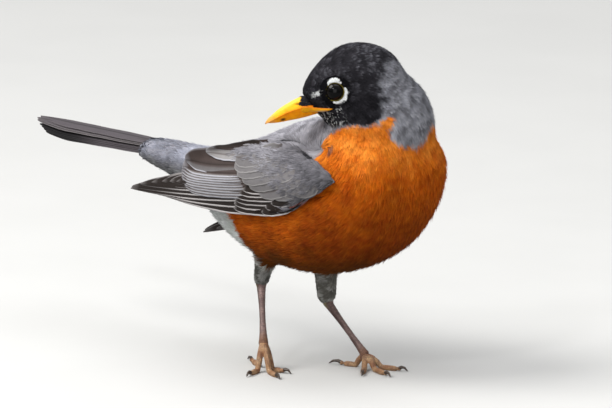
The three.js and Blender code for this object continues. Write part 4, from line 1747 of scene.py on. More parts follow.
@dataclass
class QuillWork:
    """Turns quills into thin closed vanes with a raised shaft, laid on a ground."""

    ground: object
    thickness: float = 0.16
    shaft_height: float = 0.22
    atlas_cells: int = 12

    def lay(self, fabric: Fabric, quill: Quill, cell: int) -> None:
        """Adds one feather to a mesh.

        Args:
            fabric: The mesh being made.
            quill: The feather.
            cell: Its number in the piece's bake grid.
        """
        rng = np.random.default_rng(1000 + cell * 7 + int(quill.luck * 5000))
        columns = np.array([-1, -0.82, -0.5, -0.22, -0.07, 0, 0.07, 0.22, 0.42,
                            max(0.5, 0.94 - quill.fringe), 1 - quill.fringe, 1.0])
        t = np.linspace(0, 1, quill.rows) ** 0.9
        t = np.concatenate([t[:-1], 1 - (1 - t[-2]) * np.array([0.6, 0.3, 0.1]), [1.0]])
        root, tip = np.array(quill.root), np.array(quill.tip)
        along = tip - root
        reach = np.linalg.norm(along)
        heading = along / reach
        aside = np.array([heading[1], -heading[0]]) * self.ground.outer_sign
        course = root + along * t[:, None] + aside * (quill.bend * 4 * t * (1 - t))[:, None]
        body = quill.narrow + (1 - quill.narrow) * smooth(0, quill.shoulder, t)
        end = np.clip((t - quill.taper) / (1 - quill.taper), 0, 1)
        width = body * np.maximum(1 - end ** quill.point, 0.0) ** (1 / max(quill.point, 1.6))
        ragged = 1 + 0.025 * np.sin(t * rng.uniform(25, 40) + rng.uniform(0, 6)) * smooth(0.3, 0.6, t)
        half = np.where(columns > 0, quill.outer, quill.inner)
        plan = course[:, None] + aside * (columns * half * (width * ragged)[:, None])[..., None]
        u, tt = np.broadcast_arrays(columns[None], t[:, None])
        ridge = self.shaft_height * np.exp(-(u / 0.07) ** 2) * (1 - 0.8 * tt)
        height = (quill.lift + quill.tilt * u * width[:, None] + quill.rise * tt ** 2
                  - quill.camber * u * u + 0.05 * np.sin(tt * 9 + quill.luck * 40)
                  - quill.sink * smooth(0.16, 0.0, tt))
        thin = self.thickness * (1 - 0.6 * u * u)
        top = self.ground.place_on(plan.reshape(-1, 2), (height + ridge).ravel())
        under = self.ground.place_on(plan.reshape(-1, 2), (height - thin).ravel())
        rows, wide = u.shape
        faces = self._faces(rows, wide)
        colour = self._dyed(quill, u, tt)
        scale = 1.0 / self.atlas_cells
        corner = np.array([cell % self.atlas_cells, cell // self.atlas_cells]) * scale
        atlas = corner + scale * (0.06 + 0.88 * np.stack([0.5 + 0.5 * u, tt], axis=-1))
        vane = np.stack([0.5 + 0.48 * u + cell, tt * reach / 6], axis=-1)
        turn = not self.ground.mirrored
        # Painted shade: the under face of each feather takes its colours darkened.
        for lot, back, gain in ((top, turn, 1.0), (under, not turn, 0.8)):
            fabric.add(lot, quads=faces[:, ::-1] if back else faces, colours=(colour * gain).reshape(-1, 3),
                       vane=vane.reshape(-1, 2), atlas=atlas.reshape(-1, 2))
        rim = self._rim(rows, wide)
        first = fabric.count - 2 * rows * wide
        second = first + rows * wide
        loop = np.stack([rim, np.roll(rim, -1)], axis=1)
        band = np.stack([loop[:, 0] + first, loop[:, 1] + first, loop[:, 1] + second, loop[:, 0] + second],
                        axis=1)
        fabric.quads.append(band if turn else band[:, ::-1])

    @staticmethod
    def _dyed(quill: Quill, u: Array, t: Array) -> Array:
        """The colour over one feather.

        Args:
            quill: The feather.
            u: Place across, from -1 at the inner edge to 1 at the outer.
            t: Place along, from 0 at the root to 1 at the tip.

        Returns:
            Linear colours.
        """
        dye, rim = quill.dye, 1 - quill.fringe
        # The pale line along the inner edge is a painted highlight; the outer and tip edges are the feather's
        # own pale fringes.
        colour = layered(
            dye.web,
            (dye.inner, smooth(quill.dark_to, quill.dark_to - 0.5, u)),
            (dye.edge, smooth(rim - 0.03, rim, u) * (1 - quill.fade * smooth(0.55, 0.85, t))),
            (dye.edge, dye.tip_edge * smooth(0.93, 0.985, t)),
            (dye.edge, 0.35 * smooth(-0.82, -0.98, u)),
            (dye.shaft, 0.75 * smooth(0.10, 0.04, np.abs(u))),
            (dye.root, 0.7 * smooth(quill.root_to, quill.root_to - 0.25, t)))
        return colour * (0.93 + 0.14 * quill.luck)

    @staticmethod
    def _faces(rows: int, wide: int) -> Array:
        """Quads of a grid of points.

        Args:
            rows: Points along.
            wide: Points across.

        Returns:
            Rows of four point numbers.
        """
        corner = (np.arange(rows - 1)[:, None] * wide + np.arange(wide - 1)[None]).ravel()
        return np.stack([corner, corner + 1, corner + wide + 1, corner + wide], axis=1)

    @staticmethod
    def _rim(rows: int, wide: int) -> Array:
        """The grid's outline as a loop of point numbers.

        Args:
            rows: Points along.
            wide: Points across.

        Returns:
            The numbers, in order round the grid.
        """
        return np.concatenate([np.arange(wide), np.arange(1, rows) * wide + wide - 1,
                               (rows - 1) * wide + np.arange(wide - 2, -1, -1),
                               np.arange(rows - 2, 0, -1) * wide])


@dataclass
class WingGround:
    """The outer face of a folded wing, as a height over its side view.

    The plan is that of the right wing: X along the trunk and Z up. The left wing is its mirror
    image, let down and closed a little about the wrist.
    """

    place: BirdFrame
    nodes: dict
    side: Side
    droop: float = math.radians(10.5)
    close: float = math.radians(-3.2)
    low: tuple = (-114.0, 58.0)
    high: tuple = (46.0, 114.0)
    step: float = 1.0
    outer_sign: float = -1.0
    crest: tuple = ((-40, 99.5), (-22, 104.6), (-4, 106.6), (10, 105.5), (20, 103), (31, 98))

    def __post_init__(self) -> None:
        """Reads the right wing's outer face onto a grid, smooths it and rolls its top edge in."""
        self.mirrored = self.side is Side.LEFT
        xs, zs = (np.arange(self.low[axis], self.high[axis] + 1, self.step) for axis in (0, 1))
        gx, gz = np.meshgrid(xs, zs, indexing="ij")
        starts = np.stack([gx.ravel(), np.full(gx.size, -80.0), gz.ravel()], axis=1)
        heads = np.tile([0.0, 1.0, 0.0], (len(starts), 1))
        depth = np.full(gx.size, np.inf)
        for name in ("wing_right_coverts", "wing_right_secondaries", "wing_right_primaries"):
            solid = Surface(*read_mesh(self.nodes[name], self.place))
            depth = np.minimum(depth, solid.hits(starts, heads, 90))
        known = np.isfinite(depth).reshape(gx.shape)
        inner = known.copy()
        for axis in (0, 1):
            for shift in (-2, -1, 1, 2):
                inner &= np.roll(known, shift, axis)
        face = np.where(known, depth.reshape(gx.shape) - 80.0, 0.0)
        rows = np.flatnonzero(inner.any(1))
        profile = np.array([np.median(face[row][inner[row]]) for row in rows])
        column = np.interp(xs, xs[rows], profile)
        for ends, past in ((rows[:14], xs < xs[rows[0]]), (rows[-8:], xs > xs[rows[-1]])):
            slope, level = np.polyfit(xs[ends], profile[np.isin(rows, ends)], 1)
            column[past] = slope * xs[past] + level
        value = np.where(inner, face, column[:, None])
        for _ in range(30):
            value = np.where(inner, face, self._average(value))
        for _ in range(6):
            value = self._average(value)
        over = np.clip(gz - np.interp(gx, *np.array(self.crest, float).T) + 2.5, 0, 8)
        self.face = value + 0.24 * over ** 2 * smooth(-64, -46, gx)

    @staticmethod
    def _average(value: Array) -> Array:
        """Each cell's mean with its four neighbours."""
        wide = np.pad(value, 1, mode="edge")
        return (wide[:-2, 1:-1] + wide[2:, 1:-1] + wide[1:-1, :-2] + wide[1:-1, 2:] + wide[1:-1, 1:-1]) / 5

    def _read(self, plan: Array) -> Array:
        """The face's Y at places on the plan.

        Args:
            plan: Places on the flat plan.

        Returns:
            The face's Y at each place.
        """
        spot = (plan - np.array(self.low)) / self.step
        spot = np.clip(spot, 0, np.array(self.face.shape) - 1.001)
        cell = spot.astype(int)
        a, b = (spot - cell).T
        i, j = cell.T
        face = self.face
        return ((face[i, j] * (1 - a) + face[i + 1, j] * a) * (1 - b)
                + (face[i, j + 1] * (1 - a) + face[i + 1, j + 1] * a) * b)

    def place_on(self, plan: Array, height: Array) -> Array:
        """Lays plan places on the wing, raised by a height.

        Args:
            plan: X and Z of each place on the right wing's side view.
            height: Distance out from the face.

        Returns:
            Places in the bird's frame.
        """
        gap = 1.5
        slope_x = (self._read(plan + [gap, 0]) - self._read(plan - [gap, 0])) / (2 * gap)
        slope_z = (self._read(plan + [0, gap]) - self._read(plan - [0, gap])) / (2 * gap)
        outward = unit(np.stack([slope_x, -np.ones(len(plan)), slope_z], axis=1))
        flat = np.stack([plan[:, 0], self._read(plan), plan[:, 1]], axis=1) + outward * height[:, None]
        return self.turned(flat)

    def turned(self, points: Array) -> Array:
        """Moves points of the right wing to this wing.

        Args:
            points: Places on the right wing.

        Returns:
            The same places on this wing.
        """
        if self.side is Side.RIGHT:
            return points
        closed = (points - WING_WRIST) @ yawed(self.close).T
        return (closed @ pitched(-self.droop).T + WING_WRIST) * [1, -1, 1]

    def unturned(self, points: Array) -> Array:
        """Moves points of this wing to where they would be on the right wing.

        Args:
            points: Places on this wing.

        Returns:
            The same places on the right wing.
        """
        if self.side is Side.RIGHT:
            return points
        raised = (points * [1, -1, 1] - WING_WRIST) @ pitched(-self.droop)
        return raised @ yawed(self.close) + WING_WRIST


@dataclass
class WingLie:
    """How the small coverts lie on a wing, from the wrist back and down."""

    ground: WingGround

    def heading(self, points: Array, normals: Array) -> Array:
        """Unit headings along the wing's face.

        Args:
            points: Places on the wing.
            normals: The wing's normals there.

        Returns:
            Headings from root to tip.
        """
        flat = self.ground.unturned(points)
        fall = 0.16 + 0.55 * smooth(-5, 32, flat[:, 0]) * smooth(103, 92, flat[:, 2])
        way = self.ground.turned(flat + np.stack([-np.ones(len(flat)), np.zeros(len(flat)), -fall], axis=1))
        return tangent(way - points, normals)


# Where the breast's rust starts on the folded wing: forward of this place at each height.
RUST_EDGE = ((70, 1.5), (76.9, 9), (83.9, 17.5), (87, 27.0), (91, 34), (97, 35), (101, 35), (106, 37))


def past_rust_edge(flat: Array) -> Array:
    """How far forward of the rust breast's edge places on the folded wing lie."""
    edge = np.interp(flat[:, 2], *np.array(RUST_EDGE, float).T)
    return flat[:, 0] - edge + 1.6 * ripple(flat, 4.0, 13)


@dataclass
class WingMarkings:
    """The slate tones of the small coverts and scapulars."""

    ground: WingGround

    def colours(self, points: Array, shins: Array, ripe: Array, luck: Array) -> tuple[Array, Array]:
        """Colours of the vanes' roots and tips; see Markings.colours.

        Args:
            points: Places on the wing.
            shins: Not used on a wing.
            ripe: Place within the parent feather.
            luck: A random value for each feather.

        Returns:
            Linear colours of the roots and tips.
        """
        flat = self.ground.unturned(points)
        streak = 0.5 - 0.5 * ripple(points, 5, 9)
        # The streaks are the coverts' own tone; the darkening towards the wing's front and at the wrist is
        # painted shade.
        base = layered(Tint.MANTLE, (Tint.MANTLE_DARK, 0.6 * smooth(0.1, 0.9, streak)),
                       (Tint.MANTLE_DARK, 0.95 * smooth(-16, 6, flat[:, 0])))
        base = base * (1 - 0.3 * smooth(4, 20, flat[:, 0]) * smooth(101, 92, flat[:, 2]))[:, None]
        tip = blend(base, Tint.MANTLE_PALE, 0.12 + 0.3 * smooth(0.2, 1, ripe))
        # Painted shade: the rust on the wing's front grows darker lower down.
        rust = blend(Tint.RUST_HALF_SHADE, Tint.RUST, smooth(78, 100, flat[:, 2]))
        breast = smooth(-0.8, 0.8, past_rust_edge(flat) + 4.0 * (luck - 0.5))
        base, tip = blend_pair((base, tip), (rust, rust * 1.12), breast)
        wobble = 0.92 + 0.3 * (luck[:, None] - 0.5)
        return base * wobble, tip * wobble


@dataclass
class WingCoat(Coat):
    """The small soft feathers over the wrist, shoulder and top of a folded wing."""

    ground: WingGround | None = None
    limit: tuple = ((-32, 98), (-20, 99.5), (-13, 98.5), (-4, 96.5), (5, 93), (12, 90), (18, 86.5),
                    (24, 80), (30, 70))

    def _density(self) -> Array:
        """Feathers to a square millimetre at each point of the wing.

        Returns:
            A density for each point.
        """
        surface = self.skin.surface
        flat = self.ground.unturned(surface.points)
        facing = self.ground.unturned(surface.points + surface.normals) - flat
        over = smooth(-2.5, 0.5, flat[:, 2] - np.interp(flat[:, 0], *np.array(self.limit, float).T))
        edge = past_rust_edge(flat)
        over = np.maximum(over, smooth(-3.0, -1.0, edge))
        outside = smooth(0.45, 0.05, facing[:, 1])
        return (2.2 + 1.5 * (edge > -1)) * over * smooth(-33, -28, flat[:, 0]) * outside

    def _in_the_open(self, roots: dict[str, Array]) -> Array:
        """Every scattered root stays."""
        return np.ones(len(roots["root"]), bool)

    def _lengths(self, spots: Array, roots: dict[str, Array]) -> Array:
        """Each vane's length, before chance."""
        flat = self.ground.unturned(spots)
        return 8.5 - 2.5 * smooth(5, 30, flat[:, 0])

    def _sorted(self, vanes: dict[str, Array], roots: dict[str, Array]) -> list[tuple[str, str, Array]]:
        """All vanes go in one piece.

        Args:
            vanes: The vanes' courses.
            roots: The scattered roots.

        Returns:
            One name, one slot and the choice of every vane.
        """
        name = f"wing_{self.ground.side.word}_shoulder"
        return [(name, "feather_slate", np.ones(len(vanes["root"]), bool))]


PRIMARY = Dye(Tint.QUILL_DARK, Tint.QUILL_DARK, Tint.EDGE_PALE, tip_edge=0.15)
SECONDARY = Dye(Tint.COVERT_EDGE, Tint.QUILL_BROWN, Tint.EDGE_GREY, tip_edge=0.4)
TERTIAL = Dye(Tint.COVERT, Tint.QUILL_BROWN, Tint.EDGE_GREY, tip_edge=0.3)
TERTIAL_PALE = Dye(Tint.COVERT_EDGE, Tint.QUILL_GREY, Tint.EDGE_GREY, Tint.QUILL_BROWN, tip_edge=0.4)
TERTIAL_TOP = Dye(Tint.QUILL_BROWN, Tint.QUILL_DARK, Tint.EDGE_GREY, tip_edge=0.3)
GREAT_COVERT = Dye(Tint.COVERT, Tint.QUILL_GREY, Tint.COVERT_EDGE, Tint.QUILL_BROWN, Tint.QUILL_BROWN, 0.6)
MID_COVERT = Dye(Tint.COVERT, Tint.COVERT, Tint.COVERT_EDGE, Tint.QUILL_GREY, Tint.QUILL_BROWN, 0.3)
HAND_COVERT = Dye(Tint.QUILL_DARK, Tint.QUILL_DARK, Tint.EDGE_PALE, tip_edge=0.35)
TAIL_QUILL = Dye(Tint.TAIL_BROWN, Tint.TAIL_BROWN, Tint.QUILL_GREY, Tint.TAIL_DARK, Tint.TAIL_DARK, 0.2)
# Painted shade: the near-black dye of the right outer tail quills, which droop into shade.
TAIL_SHADED_SIDE = Dye(Tint.TAIL_DARK, Tint.TAIL_DARK, Tint.TAIL_DARK, Tint.JET, Tint.TAIL_BROWN, 0.0)
TAIL_COVERT = Dye(Tint.RUMP, Tint.RUMP, Tint.MANTLE_PALE, Tint.MANTLE, Tint.MANTLE, 0.25)


def stations(count: int, *tables: tuple) -> list[tuple]:
    """Reads several tables at even stations.

    Args:
        count: How many stations.
        *tables: Values to spread evenly from the first station to the last.

    Returns:
        A row of values, one from each table, for each station.
    """
    at = np.linspace(0, 1, count)
    return list(zip(*(np.interp(at, np.linspace(0, 1, len(table)), table) for table in tables)))


@dataclass
class Wing:
    """A folded wing: a core, flight quills, coverts and the soft shoulder."""

    place: BirdFrame
    nodes: dict
    side: Side
    effects: Effects
    plumage: bpy.types.Material
    quills: bpy.types.Material
    core_depth: float = 2.0
    core_swell: float = 0.4
    core_voxel: float = 1.1
    core_end: float = -70.0

    def build(self) -> None:
        """Builds every piece of the wing."""
        self.ground = WingGround(self.place, self.nodes, self.side)
        hide = self._core()
        for label, rows, slot in (
                ("primaries", self._primaries() + self._hand_coverts(), "feather_dusky"),
                ("secondaries", self._secondaries() + self._tertials(), "feather_dusky"),
                ("coverts", self._great_coverts() + self._mid_coverts(), "feather_slate")):
            fabric, work = Fabric(), QuillWork(self.ground)
            for cell, quill in enumerate(rows):
                work.lay(fabric, quill, cell)
            node = f"wing_{self.side.word}_{label}"
            dress(fabric.build(f"{node}_vanes", self.place), self.quills, slot, node)
            LOG.info("%s_vanes: %d feathers", node, len(rows))
        coat = WingCoat(self.place, self.nodes, hide, WingLie(self.ground), WingMarkings(self.ground),
                        seed=31 + self.side.value, ground=self.ground, parent_gap=4.2, plump=1.4)
        coat.build(self.plumage)

    def _core(self) -> Hide:
        """The wing's solid middle, just under its feathers.

        Returns:
            The core as a hide for the soft feathers.
        """
        fabric = Fabric()
        turn = -1 if self.ground.mirrored else 1
        for label in ("coverts", "secondaries", "primaries"):
            points, triangles = read_mesh(self.nodes[f"wing_right_{label}"], self.place)
            flat = points + self.core_swell * point_normals(points, triangles)
            flat[:, 0] = np.maximum(flat[:, 0], self.core_end)
            fabric.add(self.ground.turned(flat), triangles=triangles[:, ::turn])
        piece, points, triangles = fused(fabric, f"wing_{self.side.word}_core", self.place,
                                         self.core_voxel, 5)
        flat = self.ground.unturned(points)
        depth = self.core_depth - 0.7 * smooth(5, 25, flat[:, 0]) - 0.3 * smooth(96, 100, flat[:, 2])
        depth += 0.8 * smooth(-25, -45, flat[:, 0]) * smooth(92, 86, flat[:, 2])
        normals = relaxed(point_normals(points, triangles), triangles, 3)
        flat = self.ground.unturned(points - unit(normals) * (depth + self.core_swell)[:, None])
        crest = np.interp(flat[:, 0], *np.array(self.ground.crest, float).T)
        flat[:, 2] = np.minimum(flat[:, 2], crest - 2.6)
        points = self.ground.turned(flat)
        hide = Hide.over(piece, self.place, points, depth, np.zeros(len(points)))
        x, _, z = flat.T
        dark = np.maximum(smooth(-8, -40, x) * smooth(99, 94, z), smooth(90, 86, z))
        paint_points(piece.data, blend(Tint.MANTLE_DARK, Tint.QUILL_DARK, dark))
        dress(piece, PlumageFinish("wing_down", vaned=False).material(self.effects), "feather_dusky")
        return hide

    def _primaries(self) -> list[Quill]:
        """The long hand quills, outermost and lowest first.

        Returns:
            The feathers in order.
        """
        rows = stations(9, (75.4, 78.6, 82, 85, 87.5, 89, 90, 91, 92),
                        (-90, -100.5, -107.5, -106.5, -100, -91, -83, -77, -72),
                        (70.3, 69.6, 68.6, 69.6, 71.8, 74.2, 76.0, 77.2, 78.2))
        short = 4.5 if self.side is Side.LEFT else 0.0
        return [Quill((-4 - index, base), (x + short, z), 2.3, 6.0, PRIMARY, bend=0.5, narrow=0.7, taper=0.5,
                      point=1.25, fringe=0.26 if index < 5 else 0.04, lift=-1.9 + 0.09 * index, tilt=0.34,
                      luck=(index * 0.37) % 1, rows=30, fade=0.75) for index, (base, x, z) in enumerate(rows)]

    def _secondaries(self) -> list[Quill]:
        """The arm quills, lowest first.

        Returns:
            The feathers in order.
        """
        rows = stations(9, (83.4, 84.5, 85.6, 86.7, 87.8, 88.9, 90, 91, 92),
                        (-61, -63.5, -65.5, -67, -68, -68.5, -68.5, -68, -67),
                        (76.6, 77.7, 78.8, 79.9, 81.0, 82.1, 83.2, 84.3, 85.4))
        return [Quill((-8 - index, base), (x, z), 1.9, 6.0, SECONDARY, bend=0.8, narrow=0.7, taper=0.74,
                      point=1.9, fringe=0.3, lift=-1.3 + 0.05 * index, tilt=0.4, luck=(index * 0.61) % 1,
                      rows=26, dark_to=0.75) for index, (base, x, z) in enumerate(rows)]

    def _tertials(self) -> list[Quill]:
        """The three broad innermost quills.

        Returns:
            The feathers in order.
        """
        return [Quill((-16, 96.0), (-64.8, 88.6), 3.5, 5.6, TERTIAL, bend=0.9, taper=0.66, point=2.3,
                      fringe=0.10, lift=-1.15, tilt=0.35, rise=0.5, luck=0.4, rows=26, dark_to=0.62),
                Quill((-12, 100.5), (-50.5, 94.4), 2.4, 3.9, TERTIAL_PALE, bend=0.8, taper=0.6, point=2.0,
                      fringe=0.2, lift=-1.0, tilt=0.35, rise=0.8, luck=0.7, rows=24, dark_to=-0.1),
                Quill((-14, 103.4), (-46.0, 97.0), 1.4, 2.4, TERTIAL_TOP, bend=0.4, taper=0.5, fringe=0.12,
                      lift=-1.5, tilt=0.3, rise=1.2, luck=0.2, rows=22)]

    def _great_coverts(self) -> list[Quill]:
        """The broad grey feathers over the arm quills' roots, lowest first.

        Returns:
            The feathers in order.
        """
        rows = stations(8, (5, -1, -8.9, -15.2, -20.1, -25.0, -28.5, -29.5),
                        (84.6, 82.8, 82.4, 85.0, 87.2, 89.6, 92.0, 94.4),
                        (22, 24, 26, 26, 26, 25, 23, 20), (0.36, 0.34, 0.32, 0.30, 0.28, 0.26, 0.22, 0.18))
        return [Quill((x + length * 0.95, z + 1.6 + length * slope), (x, z + 1.6), 3.9, 4.6, GREAT_COVERT,
                      bend=0.9, taper=0.62, point=2.2, fringe=0.13, lift=-0.75 + 0.05 * index, tilt=0.5,
                      rise=0.25, luck=(index * 0.43) % 1)
                for index, (x, z, length, slope) in enumerate(rows)]

    def _mid_coverts(self) -> list[Quill]:
        """The shorter row over the greater coverts' roots.

        Returns:
            The feathers in order.
        """
        rows = stations(7, (13, 8, 2, -4, -10, -15, -19), (87.0, 87.8, 89.2, 91.4, 93.8, 96.2, 98.2),
                        (15, 17, 18, 19, 19, 18, 17))
        return [Quill((x + length * 0.9, z + length * (0.42 - 0.03 * index)), (x, z), 3.7, 4.2, MID_COVERT,
                      bend=0.6, taper=0.45, point=2.0, fringe=0.12, lift=-0.35 + 0.03 * index, tilt=0.4,
                      rise=0.25, luck=(index * 0.29) % 1, rows=18)
                for index, (x, z, length) in enumerate(rows)]

    def _hand_coverts(self) -> list[Quill]:
        """The dark narrow feathers over the hand quills' roots, and the alula.

        Returns:
            The feathers in order.
        """
        rows = stations(6, (-27.5, -27, -26, -24.5, -22.5, -20), (73.2, 75.2, 77.2, 79.2, 81.2, 83))
        lots = [Quill((x + 29, z + 3.4 + 0.35 * index), (x, z + 0.6), 1.9, 3.6, HAND_COVERT, bend=0.4,
                      taper=0.7, point=1.7, fringe=0.3, lift=-1.25 + 0.06 * index, tilt=0.34,
                      luck=(index * 0.53) % 1) for index, (x, z) in enumerate(rows)]
        alula = stations(3, (-9, -6, -2), (75.0, 77.4, 79.8))
        return lots + [Quill((x + 20, z + 5.2), (x, z), 2.0, 3.4, HAND_COVERT, bend=0.5, taper=0.66,
                             point=1.7, fringe=0.26, lift=-0.85 + 0.08 * index, tilt=0.34,
                             luck=(index * 0.71) % 1, rows=16) for index, (x, z) in enumerate(alula)]


@dataclass
class TailGround:
    """The tail's sheet: a gently arched plane rolled about the bird's length."""

    outer_sign: float
    roll: float = math.radians(11.0)
    arch: float = 0.012
    line: tuple = ((-60, 0.0, 83.0), (-82, -0.6, 84.6), (-100, -1.2, 85.6), (-130, -2.1, 86.0),
                   (-158, -2.9, 86.2), (-184, -3.5, 86.9))

    @property
    def mirrored(self) -> bool:
        """Whether the plan's outer side is the bird's left."""
        return self.outer_sign > 0

    def place_on(self, plan: Array, height: Array) -> Array:
        """Lays plan places on the tail, raised by a height.

        Args:
            plan: Places on the flat plan.
            height: Distance up from the sheet.

        Returns:
            Places in the bird's frame.
        """
        rows = np.array(self.line)[::-1]
        centre = np.stack([plan[:, 0], np.interp(plan[:, 0], rows[:, 0], rows[:, 1]),
                           np.interp(plan[:, 0], rows[:, 0], rows[:, 2])], axis=1)
        across = np.array([0, math.cos(self.roll), math.sin(self.roll)])
        upward = np.array([0, -math.sin(self.roll), math.cos(self.roll)])
        level = height - self.arch * plan[:, 1] ** 2
        return centre + across * plan[:, 1:2] + upward * level[:, None]


@dataclass
class Tail:
    """Twelve tail quills, nearly closed, with the coverts above them."""

    place: BirdFrame
    quills: bpy.types.Material

    def build(self) -> None:
        """Builds the tail's two pieces."""
        fabric = Fabric()
        works = {sign: QuillWork(TailGround(float(sign))) for sign in (-1, 1)}
        for index in range(6):
            for sign in (-1, 1):
                spread = 0.5 + index
                end = -181.5 + 0.9 * index + (1.2 * (index - 1) if index > 1 else 0.0)
                tip = (end, sign * (0.6 + 0.95 * spread))
                # The right outer quills take the painted-shade dye.
                dye = TAIL_SHADED_SIDE if sign < 0 and index > 1 else TAIL_QUILL
                quill = Quill((-80, sign * 0.45 * spread), tip, 3.6 - 0.1 * index, 5.0, dye,
                              bend=0.3, narrow=0.5, shoulder=0.5, taper=0.8, point=1.4, fringe=0.05,
                              lift=1.0 - 0.36 * index - 0.1 * (sign < 0) - 0.9 * (index > 1), tilt=-0.25,
                              camber=0.2, luck=(index * 0.37 + (sign > 0) * 0.2) % 1, rows=28,
                              root_to=0.8 if dye is TAIL_SHADED_SIDE else 0.25)
                works[sign].lay(fabric, quill, index * 2 + (sign > 0))
        self._finish(fabric, "tail_quills", "feather_dusky", "tail")
        fabric = Fabric()
        rng = np.random.default_rng(5)
        cell = 0
        for start, reach, height in ((-86, 25, 1.0), (-83, 21, 1.4), (-79, 17, 1.9), (-75, 13, 2.4)):
            for index in range(11):
                across = (index - 5) * 1.4 + rng.normal(0, 0.2)
                sign = 1 if across > 0 else -1
                reach_here = reach * (0.85 if across > -0.5 else 1.1 if across > -5.4 else 0.75)
                end = start - reach_here - rng.uniform(0, 3)
                quill = Quill((start, across * 0.8), (end, across), 1.9, 2.2, TAIL_COVERT, taper=0.5,
                              point=2.2, fringe=0.12, tilt=-0.2, camber=0.5,
                              lift=height - 0.02 * across ** 2 - 0.1 * abs(across), luck=rng.random(),
                              rows=14)
                works[sign].lay(fabric, quill, cell)
                cell += 1
        self._finish(fabric, "tail_coverts", "feather_slate")

    def _finish(self, fabric: Fabric, name: str, slot: str, *nodes: str) -> None:
        """Builds and dresses one piece; see dress."""
        dress(fabric.build(name, self.place), self.quills, slot, *nodes)
        LOG.info("%s: built", name)


